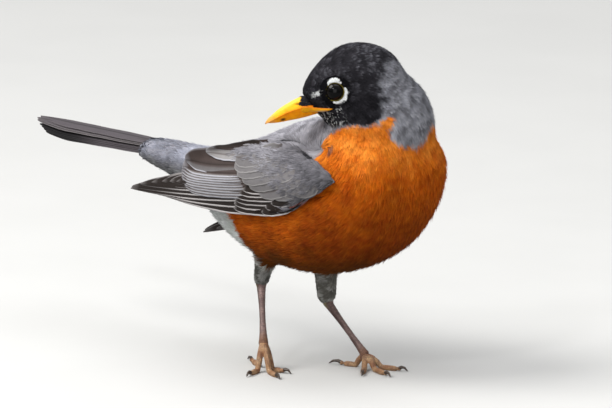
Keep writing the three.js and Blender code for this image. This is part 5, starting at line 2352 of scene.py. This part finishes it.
@dataclass
class Eyes:
    """Two wet dark eyes in their lids, with the broken white ring of small feathers."""

    place: BirdFrame
    nodes: dict
    skin: Hide
    coat: Coat
    effects: Effects
    plumage: bpy.types.Material
    opening: float = 3.75
    ring: float = 6.0
    pupil: float = 2.6
    facing: tuple = (0.22, 0.96, 0.12)

    def build(self) -> None:
        """Builds both eyes, their lids and the ring feathers."""
        wet = EyeFinish("wet_eye").material(self.effects)
        lid = PlumageFinish("lid_skin", streaks=0.1, roughness=0.6, relief=0.0001).material(self.effects)
        head = Surface(*read_mesh(self.nodes["head"], self.place))
        feathers = Fabric()
        for side in Side:
            axis = unit(np.array(self.facing) * [1, side.value, 1])
            back = unit(np.array([-1.0, 0, 0]) + axis * axis[0])
            up = np.cross(axis, back) * side.value
            up = up if up[2] > 0 else -up
            basis = np.stack([back, up, axis])
            centre = EYE_PLACE * [1, side.value, 1]
            dress(self._ball(side, centre, basis), wet, "eye", f"eye_{side.word}")
            dress(self._lid(side, centre, basis, head), lid, "feather_black")
            self._ring_feathers(feathers, side, centre, basis, head)
        dress(feathers.build("coat_eye_rings", self.place), self.plumage, "feather_black")
        LOG.info("eyes: built")

    def _ball(self, side: Side, centre: Array, basis: Array) -> bpy.types.Object:
        """The eyeball, painted with iris and pupil.

        Args:
            side: Which eye.
            centre: The eyeball's middle, on the head.
            basis: The eye's backward, upward and outward headings, as rows.

        Returns:
            The eyeball.
        """
        fabric = Fabric()
        rows, wide = 40, 64
        polar = np.linspace(0, math.radians(150), rows)
        round_ = np.linspace(0, 2 * math.pi, wide, endpoint=False)
        theta, phi = np.meshgrid(polar, round_, indexing="ij")
        bulge = EYE_RADIUS * (1 + 0.02 * np.exp(-(theta / 0.45) ** 2))
        local = np.stack([np.sin(theta) * np.cos(phi), np.sin(theta) * np.sin(phi), np.cos(theta)], -1)
        points = self.place.off_head((local * bulge[..., None]).reshape(-1, 3) @ basis + centre)
        out = EYE_RADIUS * np.sin(theta).ravel()
        iris = blend(Tint.IRIS, Tint.IRIS_RIM, smooth(2.6, 3.5, out))
        colour = blend(Tint.PUPIL, iris, smooth(self.pupil - 0.15, self.pupil + 0.15, out))
        fabric.add(points, quads=tube_quads(rows, wide, side is Side.RIGHT), colours=colour,
                   vane=np.stack([phi.ravel() / 6.2832, theta.ravel()], axis=1))
        return fabric.build(f"eye_{side.word}_ball", self.place)

    def _white(self, bearing: Array, out: Array) -> Array:
        """How white the eye ring is.

        Args:
            bearing: Degrees round the eye, from the rear towards the crown.
            out: Distance from the eye's axis.

        Returns:
            Values from 0 to 1.
        """
        thick = 1.9 * np.sin(math.pi * np.clip((bearing - 38) / 98, 0, 1)) ** 0.8
        over = smooth(0, 0.25, thick - (out - 4.2)) * smooth(4.1, 4.25, out)
        thick = 1.5 * np.sin(math.pi * np.clip((bearing + 120) / 140, 0, 1)) ** 0.6
        under = smooth(0, 0.25, thick - (out - 4.4)) * smooth(4.3, 4.45, out)
        return np.maximum(over, under)

    def _height(self, out: Array, phi: Array, centre: Array, basis: Array, head: Surface) -> Array:
        """The lid's height over the eye's middle.

        Args:
            out: Distance from the eye's axis.
            phi: Angle round the eye.
            centre: The eyeball's middle, on the head.
            basis: The eye's backward, upward and outward headings, as rows.
            head: The head's solid.

        Returns:
            A height for each place.
        """
        flat = np.stack([out * np.cos(phi), out * np.sin(phi), np.full(out.shape, 12.0)], axis=-1)
        start = self.place.off_head(flat.reshape(-1, 3) @ basis + centre)
        down = np.tile(-(basis[2] @ self.place.head_axes.T), (len(start), 1))
        met = 12.0 - head.hits(start, down, 20.0).reshape(out.shape)
        met = np.where(np.isfinite(met) & (met > -2), met, 2.2)
        lid = math.sqrt(EYE_RADIUS ** 2 - self.opening ** 2) + 0.10 + 0.34 * np.sin(
            math.pi * np.clip((out - self.opening) / 1.1, 0, 1) * 0.5)
        return lid + (met - 0.55 - lid) * smooth(self.opening + 0.5, self.ring - 0.2, out)

    def _lid(self, side: Side, centre: Array, basis: Array, head: Surface) -> bpy.types.Object:
        """The bare lid and the skin round it.

        Args:
            side: Which eye.
            centre: The eyeball's middle, on the head.
            basis: The eye's backward, upward and outward headings, as rows.
            head: The head's solid.

        Returns:
            The lid.
        """
        fabric = Fabric()
        rows, wide = 14, 96
        share = np.linspace(0, 1, rows) ** 1.4
        phi, grow = np.meshgrid(np.linspace(0, 2 * math.pi, wide, endpoint=False), share)
        oval = 1 - 0.05 * np.sin(phi) ** 2
        out = self.opening * oval + (self.ring - self.opening * oval) * grow
        height = self._height(out, phi, centre, basis, head)
        height = np.where(grow == 0, height - 0.12, height)
        local = np.stack([out * np.cos(phi), out * np.sin(phi), height], axis=-1).reshape(-1, 3)
        bearing = (np.degrees(phi) + 180) % 360 - 180
        bare = smooth(self.opening + 0.66, self.opening + 0.52, out.ravel() / oval.ravel())
        colour = layered(Tint.JET, (RING_WHITE * Tint.WHITE.light, self._white(bearing, out).ravel()),
                         (Tint.LID, bare))
        fabric.add(self.place.off_head(local @ basis + centre),
                   quads=tube_quads(rows, wide, side is Side.RIGHT), colours=colour,
                   vane=np.stack([phi.ravel() * 4, out.ravel()], axis=1))
        return fabric.build(f"eye_{side.word}_lid", self.place)

    def _ring_feathers(self, fabric: Fabric, side: Side, centre: Array, basis: Array, head: Surface) -> None:
        """Tiny feathers round the lid, white where the ring is.

        Args:
            fabric: The mesh being made.
            side: Which eye.
            centre: The eyeball's middle, on the head.
            basis: The eye's backward, upward and outward headings, as rows.
            head: The head's solid.
        """
        rng = np.random.default_rng(50 + side.value)
        count = 900
        phi = rng.uniform(0, 2 * math.pi, count)
        out = np.sqrt(rng.uniform((self.opening + 0.35) ** 2, (self.ring + 0.4) ** 2, count))
        away = np.stack([np.cos(phi), np.sin(phi)], axis=1)
        way = unit(0.75 * away + np.array([0.8, 0.0]) + rng.normal(0, 0.15, (count, 2)))
        length = rng.uniform(0.9, 1.5, count)
        course = []
        for share, lift in ((0.0, 0.02), (0.5, 0.05), (1.0, 0.05)):
            flat = away * out[:, None] + way * (length * share)[:, None]
            radius, turn = np.hypot(*flat.T), np.arctan2(flat[:, 1], flat[:, 0])
            height = self._height(radius, turn, centre, basis, head) + lift
            course.append(self.place.off_head(np.stack([*flat.T, height], axis=1) @ basis + centre))
        normal = np.tile(unit(basis[2] @ self.place.head_axes.T), (count, 1))
        bearing = (np.degrees(phi) + 180) % 360 - 180
        white = self._white(bearing, out + 0.35 * length) > 0.5
        colour = blend(Tint.JET, RING_WHITE * Tint.WHITE.light, white)
        self.coat.tuft(fabric, course, normal, length * 0.5, 0.22, colour, rng.random(count))


@dataclass
class Bill:
    """The two halves of the bill, lofted from gape to tip, with nostrils."""

    place: BirdFrame
    nodes: dict
    skin: Hide
    coat: Coat
    effects: Effects
    plumage: bpy.types.Material
    upper: tuple = ((16.2, -3.4, -3.4, 0.3), (17, -4.0, -0.8, 3.6), (20.5, -3.4, 0.7, 3.8),
                    (24.5, -3.1, 1.5, 3.8), (28.2, -3.3, 0.7, 3.5), (31.9, -3.7, -0.4, 3.0),
                    (35, -4.4, -1.5, 2.5),
                    (37.6, -5.1, -2.8, 2.0), (39.8, -5.8, -4.0, 1.35), (41.2, -6.3, -4.9, 0.9),
                    (42.2, -6.6, -5.9, 0.45), (42.6, -6.6, -6.6, 0.05))
    lower: tuple = ((15.6, -4.6, -4.6, 0.3), (16.6, -3.9, -7.2, 4.5), (20.5, -3.0, -7.6, 4.2),
                    (24.5, -2.7, -7.8, 3.85), (28.2, -2.9, -7.8, 3.4), (31.6, -3.3, -7.6, 2.85),
                    (34.5, -4.0, -7.5, 2.3), (37, -4.7, -7.3, 1.75), (39, -5.4, -7.0, 1.15),
                    (40.9, -6.2, -6.6, 0.35), (41.3, -6.35, -6.35, 0.05))
    nostril: tuple = (27.0, -0.9, 1.6, 0.4)

    def build(self) -> None:
        """Builds both halves, the soft corners and the feathers over the base."""
        finish = BillFinish("bill_sheath").material(self.effects)
        for name, table, upward in (("upper", self.upper, True), ("lower", self.lower, False)):
            dress(self._half(name, np.array(table), upward), finish, "bill_horn", f"bill_{name}")
        dress(self._gape(), finish, "bill_horn")
        dress(self._lores(), self.plumage, "feather_black")
        LOG.info("bill: built")

    def _gape(self) -> bpy.types.Object:
        """The soft yellow corner of the bill, a closed ridge along each cheek.

        Returns:
            The ridges as one piece.
        """
        fabric = Fabric()
        cover = joined([self.nodes[name] for name in ("head", "bill_upper", "bill_lower")], self.place)
        rows, wide = 40, 12
        forward = np.linspace(26.6, 13.4, rows)
        level, half = GAPE.level(forward), np.maximum(GAPE.half(forward), 0.02)
        turn = np.linspace(0, 2 * math.pi, wide, endpoint=False)
        up = level[:, None] + half[:, None] * np.sin(turn)
        f = np.broadcast_to(forward[:, None], up.shape)
        over = np.broadcast_to(np.sin(turn), up.shape).ravel()
        pale = smooth(21, 19, f.ravel()) * smooth(15.5, 17, f.ravel()) * smooth(0.1, -0.5, over)
        glow = layered(Tint.GAPE, (Tint.GAPE_DEEP, smooth(0.2, 0.9, over)), (Tint.GAPE_PALE, 0.8 * pale))
        for side in Side:
            start = np.stack([f, np.full(up.shape, 20.0 * side.value), up], axis=-1).reshape(-1, 3)
            start = self.place.off_head(start)
            aim = np.tile(-side.value * self.place.head_axes[:, 1], (len(start), 1))
            met = 20.0 - cover.hits(start, aim, 18.0).reshape(up.shape)
            met = np.where(np.isfinite(met), met, 4.0)
            out = met + 0.55 * np.cos(turn) * np.minimum(1, half / 0.5)[:, None] - 0.10
            local = np.stack([f, out * side.value, up], axis=-1).reshape(-1, 3)
            fabric.add(self.place.off_head(local), quads=tube_quads(rows, wide, side is Side.LEFT),
                       colours=glow, vane=np.stack([f.ravel() / 6, up.ravel()], axis=1))
        return fabric.build("bill_gape", self.place)

    def _lores(self) -> bpy.types.Object:
        """Short black feathers over the base of the upper half, forward to a point on each side.

        Returns:
            The feathers as one piece.
        """
        rng = np.random.default_rng(77)
        fabric = Fabric()
        table = np.array(self.upper)
        count = 1500
        forward = rng.uniform(17.5, 26.2, count)
        over = rng.uniform(0.02, math.pi - 0.02, count)
        rise = np.abs(np.sin(over)) ** UPPER_ROUND
        keep = (rise > 0.22) & (
            forward < 24.1 + 2.0 * np.exp(-((rise - 0.5) / 0.3) ** 2) - 0.3 * rng.random(count))
        forward, over, rise = forward[keep], over[keep], rise[keep]
        course = []
        for ahead, lift in ((0.0, 0.02), (0.55, 0.04), (1.15, 0.03)):
            place = forward + ahead
            edge, far, half = (self._eased(place, table[:, 0], table[:, column]) for column in (1, 2, 3))
            grown = 1 + lift / np.maximum(half, 1)
            course.append(self.place.off_head(np.stack(
                [place, half * np.cos(over) * grown, edge + (far - edge) * rise * grown], axis=1)))
        local = np.stack([0 * over, np.cos(over), 0.9 * np.sin(over)], axis=1)
        luck = rng.random(len(over))
        self.coat.tuft(fabric, course, unit(local @ self.place.head_axes.T), np.full(len(over), 0.55), 0.15,
                       blend(Tint.JET, Tint.SOOT, luck), luck)
        return fabric.build("coat_lores", self.place)

    def _half(self, name: str, table: Array, upward: bool) -> bpy.types.Object:
        """Lofts one half.

        Args:
            name: Which half.
            table: Forward place, shared edge height, far height and half width, row by row.
            upward: Whether the far side is the top.

        Returns:
            The half's object.
        """
        rows, wide = 110, 48
        forward = table[0, 0] + (table[-1, 0] - table[0, 0]) * (1 - np.cos(np.linspace(0, math.pi, rows))) / 2
        edge, far, half = (self._eased(forward, table[:, 0], table[:, column]) for column in (1, 2, 3))
        arc = int(wide * 0.7)
        over = np.linspace(0, math.pi, arc)
        back = np.linspace(-1, 1, wide - arc + 2)[1:-1]
        across = np.concatenate([np.cos(over), back])
        rise = np.concatenate([np.abs(np.sin(over)) ** (UPPER_ROUND if upward else LOWER_ROUND),
                               0.10 * (1 - back ** 2)])
        f, u = np.broadcast_arrays(forward[:, None], across[None])
        ridge = 1 - 0.16 * np.abs(np.sin(2 * np.arccos(np.clip(u, -1, 1)))) * (rise[None] > 0.15)
        left = half[:, None] * u * ridge
        up = edge[:, None] + (far - edge)[:, None] * rise[None]
        colour = self._paint(f, left, up, rise[None] * np.ones_like(f), upward)
        if upward:
            place, level, long, tall = self.nostril
            pit = np.exp(-(((f - place) / long) ** 2 + ((up - level - 0.15 * (f - place)) / tall) ** 2))
            left = left * (1 - 0.16 * pit)
            # Painted shade in the nostril pit.
            colour = blend(colour, Tint.NOSTRIL, np.clip(pit * 1.3 - 0.25, 0, 1))
        local = np.stack([f, left, up], axis=-1).reshape(-1, 3)
        fabric = Fabric()
        round_ = np.broadcast_to(np.arange(wide) / wide * 3, f.shape)
        fabric.add(self.place.off_head(local),
                   quads=np.roll(tube_quads(rows, wide, not upward), -1 if upward else 1, axis=1),
                   colours=colour.reshape(-1, 3), vane=np.stack([(f / 6).ravel(), round_.ravel()], axis=1))
        ends = np.array([[0, index, index + 1] for index in range(1, wide - 1)])
        fabric.triangles += [ends, ends + (rows - 1) * wide]
        return fabric.build(f"bill_{name}_sheath", self.place)

    @staticmethod
    def _eased(at: Array, places: Array, values: Array) -> Array:
        """Reads a table along a smooth curve.

        Args:
            at: Where to read.
            places: The table's places, in order.
            values: The value at each.

        Returns:
            The smoothed values.
        """
        count, width = 600, 19
        dense = np.linspace(places[0], places[-1], count)
        read = np.interp(dense, places, values)
        window = np.hanning(width + 2)[1:-1]
        before = 2 * read[0] - read[width // 2:0:-1]
        after = 2 * read[-1] - read[-2:-width // 2 - 1:-1]
        padded = np.concatenate([before, read, after])
        return np.interp(at, dense, np.convolve(padded, window / window.sum(), mode="valid")[:count])

    def _paint(self, forward: Array, left: Array, up: Array, rise: Array, upward: bool) -> Array:
        """The bill's colours: yellow, with a painted highlight along the ridge, horn at the tip.

        Args:
            forward: Place along the bill.
            left: Place to the left.
            up: Height on the head.
            rise: How far from the cutting edge towards the ridge.
            upward: Whether it is the upper half.

        Returns:
            Linear colours.
        """
        points = np.stack([forward, left, up], axis=-1)
        wave = ripple(points.reshape(-1, 3), 4.0, 21).reshape(forward.shape)
        body = blend(Tint.BILL, Tint.BILL_EDGE, smooth(0.5, 0.0, rise + 0.1 * wave))
        if not upward:
            body = blend(Tint.BILL_LOWER, body, 0.25)
        # Painted highlight along the ridge, weaker on the lower half; the base, tip and horn are the bill's
        # own colours.
        body = layered(
            body,
            (Tint.BILL_RIDGE_HIGHLIGHT, 0.7 * smooth(0.62, 0.95, rise) * (smooth(22, 27, forward) if upward else 0.25)),
            (Tint.BILL_BASE, 0.6 * smooth(22, 18, forward)),
            (Tint.BILL_TIP, 0.75 * smooth(37.5, 42.0, forward + 0.7 * wave)),
            (Tint.BILL_HORN, 0.45 * smooth(41.4, 42.6, forward)))
        if upward:
            return body
        mark = np.exp(-(((forward - 34.6) / 1.2) ** 2 + ((up + 6.2) / 0.7) ** 2))
        return blend(body, Tint.BILL_MARK, np.clip(1.5 * mark - 0.2, 0, 0.9) * (left > 0))


@dataclass
class Leg:
    """A scaled leg: the tarsus, the foot and its claws."""

    place: BirdFrame
    nodes: dict
    side: Side
    shank: bpy.types.Material
    toes: bpy.types.Material
    horn: bpy.types.Material
    scute: float = 1.9
    ring: float = 1.15
    skin_swell: float = 0.16
    claw_swell: float = 0.10
    knuckle: float = 1.0
    heel: float = 2.5
    ankle: float = 2.2

    def build(self) -> None:
        """Builds the leg's three pieces."""
        word = self.side.word
        tarsus = f"leg_{word}_tarsus"
        digits = [f"foot_{word}_toe_{number}" for number in range(1, 5)]
        claws = [f"foot_{word}_claw_{number}" for number in range(1, 5)]
        low, high = self._ends(tarsus)
        for name, nodes, voxel, finish, slot, work in (
                (f"leg_{word}_shank", [tarsus], 0.3, self.shank, "leg_skin", self._scute_shank),
                (f"foot_{word}_skin", digits, 0.26, self.toes, "toe_skin", self._ring_toes),
                (f"foot_{word}_claws", claws, 0.16, self.horn, "claw_horn", None)):
            fabric = Fabric()
            for node in nodes:
                points, triangles = read_mesh(self.nodes[node], self.place)
                swell = self.skin_swell if work else self.claw_swell
                points = points + swell * point_normals(points, triangles)
                fabric.add(points, triangles=triangles)
            if slot == "toe_skin":
                for digit, claw in zip(digits, claws):
                    toe, horn = (read_mesh(self.nodes[node], self.place)[0] for node in (digit, claw))
                    gap = np.linalg.norm(toe[:, None] - horn[None], axis=2)
                    near = np.argsort(gap.min(0))[:8]
                    fabric.add(*self._knob(horn[near].mean(0), self.knuckle))
            if slot == "leg_skin":
                for spot, radius in ((high, self.heel), (low, self.ankle)):
                    fabric.add(*self._knob(spot, radius))
            piece, points, triangles = fused(fabric, name, self.place, voxel, 3 if work else 1)
            if work:
                points, colour = work(points, point_normals(points, triangles), low, high)
                paint_points(piece.data, colour)
            points[:, 2] = np.maximum(points[:, 2], 0.0)
            write_points(piece.data, self.place, points)
            dress(piece, finish, slot, *nodes)
        LOG.info("leg_%s: built", word)

    def _knob(self, spot: Array, radius: float) -> tuple[Array, Array]:
        """A round joint, as points and triangles.

        Args:
            spot: Its middle.
            radius: Its radius.

        Returns:
            Its points and triangles.
        """
        mesh = bpy.data.meshes.new("knob")
        shape = bmesh.new()
        bmesh.ops.create_icosphere(shape, subdivisions=3, radius=radius)
        bmesh.ops.triangulate(shape, faces=shape.faces)
        shape.to_mesh(mesh)
        shape.free()
        points = np.array([vertex.co[:] for vertex in mesh.vertices]) + spot
        triangles = np.array([face.vertices[:] for face in mesh.polygons])
        bpy.data.meshes.remove(mesh)
        return points, triangles

    def _ends(self, node: str) -> tuple[Array, Array]:
        """The middle of a bar's lowest and highest parts.

        Args:
            node: The bar's name.

        Returns:
            The lower and the upper middle.
        """
        points, _ = read_mesh(self.nodes[node], self.place)
        rank = np.argsort(points[:, 2])
        share = max(6, len(rank) // 12)
        return points[rank[:share]].mean(0), points[rank[-share:]].mean(0)

    def _scute_shank(self, points: Array, normals: Array, low: Array, high: Array) -> tuple[Array, Array]:
        """Raises the plates down the front of the tarsus and paints it.

        Args:
            points: Places on the tarsus.
            normals: Its normals there.
            low: The tarsus's lower end.
            high: Its upper end.

        Returns:
            The raised places and their linear colours.
        """
        axis = unit(high - low)
        along = (points - low) @ axis
        front_way = np.array([1.0, 0.35 * self.side.value, 0])
        facing = normals @ unit(front_way - axis * (axis @ front_way))
        front = smooth(-0.1, 0.5, facing)
        saw = (along / self.scute) % 1.0
        lift = front * 0.10 * (smooth(0, 0.85, saw) - smooth(0.86, 1.0, saw) - 0.4)
        points = points + normals * lift[:, None]
        reach = float(np.linalg.norm(high - low))
        # Painted highlight down the tarsus's front; the ripple adds the skin's own paler mottle.
        return points, layered(
            Tint.SHANK,
            (Tint.SHANK_HIGHLIGHT_AND_MOTTLE, 0.5 * front + 0.3 * smooth(-0.2, 1, ripple(points, 6, 30))),
            (Tint.SHANK_SEAM, 0.6 * (smooth(0.10, 0.0, np.minimum(saw, 1 - saw)) * front)),
            (Tint.HEEL, 0.65 * smooth(reach - 4.0, reach - 1.0, along) * smooth(0.2, -0.6, facing)),
            (Tint.ANKLE, smooth(6.0, 0.5, along)))

    def _ring_toes(self, points: Array, normals: Array, low: Array, high: Array) -> tuple[Array, Array]:
        """Raises rings over the toes and pads under them, and paints the foot.

        Args:
            points: Places on the foot.
            normals: Its normals there.
            low: The tarsus's lower end.
            high: Its upper end; not used here.

        Returns:
            The raised places and their linear colours.
        """
        offset = points[:, :2] - low[:2]
        away = np.hypot(*offset.T) + 0.6 * np.abs(points[:, 2])
        top = smooth(-0.1, 0.5, normals[:, 2])
        saw = (away / self.ring) % 1.0
        lift = 0.075 * top * (smooth(0, 0.8, saw) - smooth(0.82, 1.0, saw) - 0.4)
        pads = 0.07 * (1 - top) * np.sin(away * 2 * math.pi / 2.6) * smooth(0.5, 1.5, points[:, 2])
        points = points + normals * (lift + pads)[:, None]
        return points, layered(
            Tint.TOE,
            (Tint.TOE_PALE, 0.5 + 0.5 * ripple(points, 4, 31)),
            (Tint.TOE_DARK, 0.45 * top * smooth(0.3, 1, ripple(points, 7, 32))),
            (Tint.TOE_SEAM, 0.55 * (smooth(0.14, 0.0, np.minimum(saw, 1 - saw)) * top)))


@dataclass(frozen=True)
class FloorFinish(Finish):
    """A pale matt studio floor that shows plain behind the bird and keeps its shadow."""

    tone: float = 0.56
    bounce: float = 0.52

    def sockets(self, graph: Graph, effects: Effects | None) -> dict[str, object]:
        """Wires a near-plain tone, dimmer to all but the camera; see Finish.sockets.

        Args:
            graph: The material's graph.
            effects: Not used here.

        Returns:
            Values or sockets for the shader's inputs, by name.
        """
        noise = graph.add("TexNoise", {"Vector": graph.place(), "Scale": 14.0, "Detail": 3.0}).outputs[0]
        level = graph.ramp(noise, 0.3, 0.7, self.tone - 0.006, self.tone + 0.006)
        dimmer = graph.maths("MULTIPLY", level, self.bounce)
        plain = graph.add("LightPath").outputs["Is Camera Ray"]
        shown = graph.maths("MULTIPLY_ADD", plain, graph.maths("SUBTRACT", level, dimmer), dimmer)
        colour = graph.add("CombineColor", {0: shown, 1: shown, 2: graph.maths("MULTIPLY", shown, 0.985)})
        return {"Base Color": colour.outputs[0], "Roughness": 0.9, "Specular IOR Level": 0.1}


@dataclass
class Studio:
    """The floor, soft lights and camera."""

    place: BirdFrame
    target: tuple = (-8.9, -8.9, 74.7)
    bearing: float = math.radians(45.0)
    elevation: float = math.radians(12.0)
    distance: float = 6000.0
    view_width: float = 266.0
    floor_reach: float = 9.0
    # Each soft lamp's name, place from the bird's middle, side, power and colour.
    lamps: tuple = (("key", (-0.55, -0.95, 1.3), 0.9, 28.0, (1.0, 0.985, 0.96)),
                    ("top", (0.1, 0.2, 1.6), 1.3, 13.0, (0.97, 0.985, 1.0)),
                    ("fill", (1.1, -1.2, 0.45), 1.2, 8.0, (1.0, 0.99, 0.98)),
                    ("catch", (0.35, -1.4, 1.28), 0.2, 5.5, (1.0, 1.0, 1.0)))

    def build(self) -> None:
        """Sets up everything round the bird."""
        scene = bpy.context.scene
        scene.view_settings.view_transform = "Standard"
        mesh = bpy.data.meshes.new("studio_floor")
        reach, count = self.floor_reach, 48
        ring = [(reach * math.cos(2 * math.pi * k / count), reach * math.sin(2 * math.pi * k / count), 0.0)
                for k in range(count)]
        mesh.from_pydata(ring, [], [list(range(count))])
        floor = bpy.data.objects.new("studio_floor", mesh)
        scene.collection.objects.link(floor)
        mesh.materials.append(FloorFinish("studio_floor").material())
        self._world(scene)
        for lamp in self.lamps:
            self._lamp(*lamp)
        self._camera(scene)

    def _world(self, scene: bpy.types.Scene) -> None:
        """A soft pale surround, brighter above than below.

        Args:
            scene: The scene.
        """
        world = bpy.data.worlds.new("studio_air")
        scene.world = world
        world.use_nodes = True
        graph = Graph(world.node_tree)
        back = next(node for node in world.node_tree.nodes if node.type == "BACKGROUND")
        up = graph.add("SeparateXYZ", {0: graph.add("TexCoord").outputs["Generated"]}).outputs[2]
        level = graph.ramp(up, -0.2, 0.9, 0.2, 0.7)
        plain = graph.add("LightPath").outputs["Is Camera Ray"]
        colour = graph.add("CombineColor", {0: level, 1: level, 2: level}).outputs[0]
        shown = graph.mixed(plain, colour, (0.86, 0.86, 0.85, 1))
        graph.tree.links.new(shown, back.inputs["Color"])
        back.inputs["Strength"].default_value = 1.0

    def _lamp(self, name: str, spot: tuple, size: float, power: float, colour: tuple) -> None:
        """One soft square lamp, aimed at the bird's middle.

        Args:
            name: The lamp's name.
            spot: Its place in metres from the bird's middle.
            size: Its side in metres.
            power: Its power in watts.
            colour: Its colour.
        """
        lamp = bpy.data.lights.new(name, "AREA")
        lamp.size, lamp.energy, lamp.color = size, power, colour
        holder = bpy.data.objects.new(name, lamp)
        middle = Vector(self.place.to_row(np.array(self.target)))
        holder.location = middle + Vector(spot)
        holder.rotation_euler = (-Vector(spot)).to_track_quat("-Z", "Y").to_euler()
        bpy.context.scene.collection.objects.link(holder)

    def _camera(self, scene: bpy.types.Scene) -> None:
        """The camera at the bird's right front, a little above its back.

        Args:
            scene: The scene.
        """
        camera = bpy.data.cameras.new("camera")
        camera.sensor_width = 36.0
        camera.lens = camera.sensor_width * self.distance / self.view_width
        camera.clip_end = 50.0
        holder = bpy.data.objects.new("camera", camera)
        away = Vector((math.sin(self.bearing) * math.cos(self.elevation),
                       -math.cos(self.bearing) * math.cos(self.elevation), math.sin(self.elevation)))
        middle = Vector(self.place.to_row(np.array(self.target)))
        holder.location = middle + away * self.distance * MM
        holder.rotation_euler = (-away).to_track_quat("-Z", "Y").to_euler()
        scene.collection.objects.link(holder)
        scene.camera = holder


def main() -> None:
    logging.basicConfig(level=logging.INFO, format="%(message)s")
    nodes = frame["nodes"]
    place = BirdFrame.from_nodes()
    Studio(place).build()
    effects = Effects()
    plumage = PlumageFinish("body_plumage").material(effects)
    quills = PlumageFinish("quill_vanes", across=2.0, along=26.0, slant=-9.0, streaks=0.10, drift=0.10,
                           roughness=0.6, gloss=0.16, relief=0.0002).material(effects)
    down = PlumageFinish("down", vaned=False, streaks=0.25).material(effects)
    lie, markings = LieOfCoat(place), Markings(place)
    hide = Skin(place, nodes, markings, down).build()
    coat = Coat(place, nodes, hide, lie, markings)
    coat.build(plumage)
    for side in Side:
        Wing(place, nodes, side, effects, plumage, quills).build()
    Tail(place, quills).build()
    Eyes(place, nodes, hide, coat, effects, plumage).build()
    Bill(place, nodes, hide, coat, effects, plumage).build()
    shank, toes = LegFinish("shank_skin").material(effects), LegFinish("toe_skin", 1300.0).material(effects)
    horn = ClawFinish("claw_horn").material(effects)
    for side in Side:
        Leg(place, nodes, side, shank, toes, horn).build()


if __name__ == "__main__":
    main()
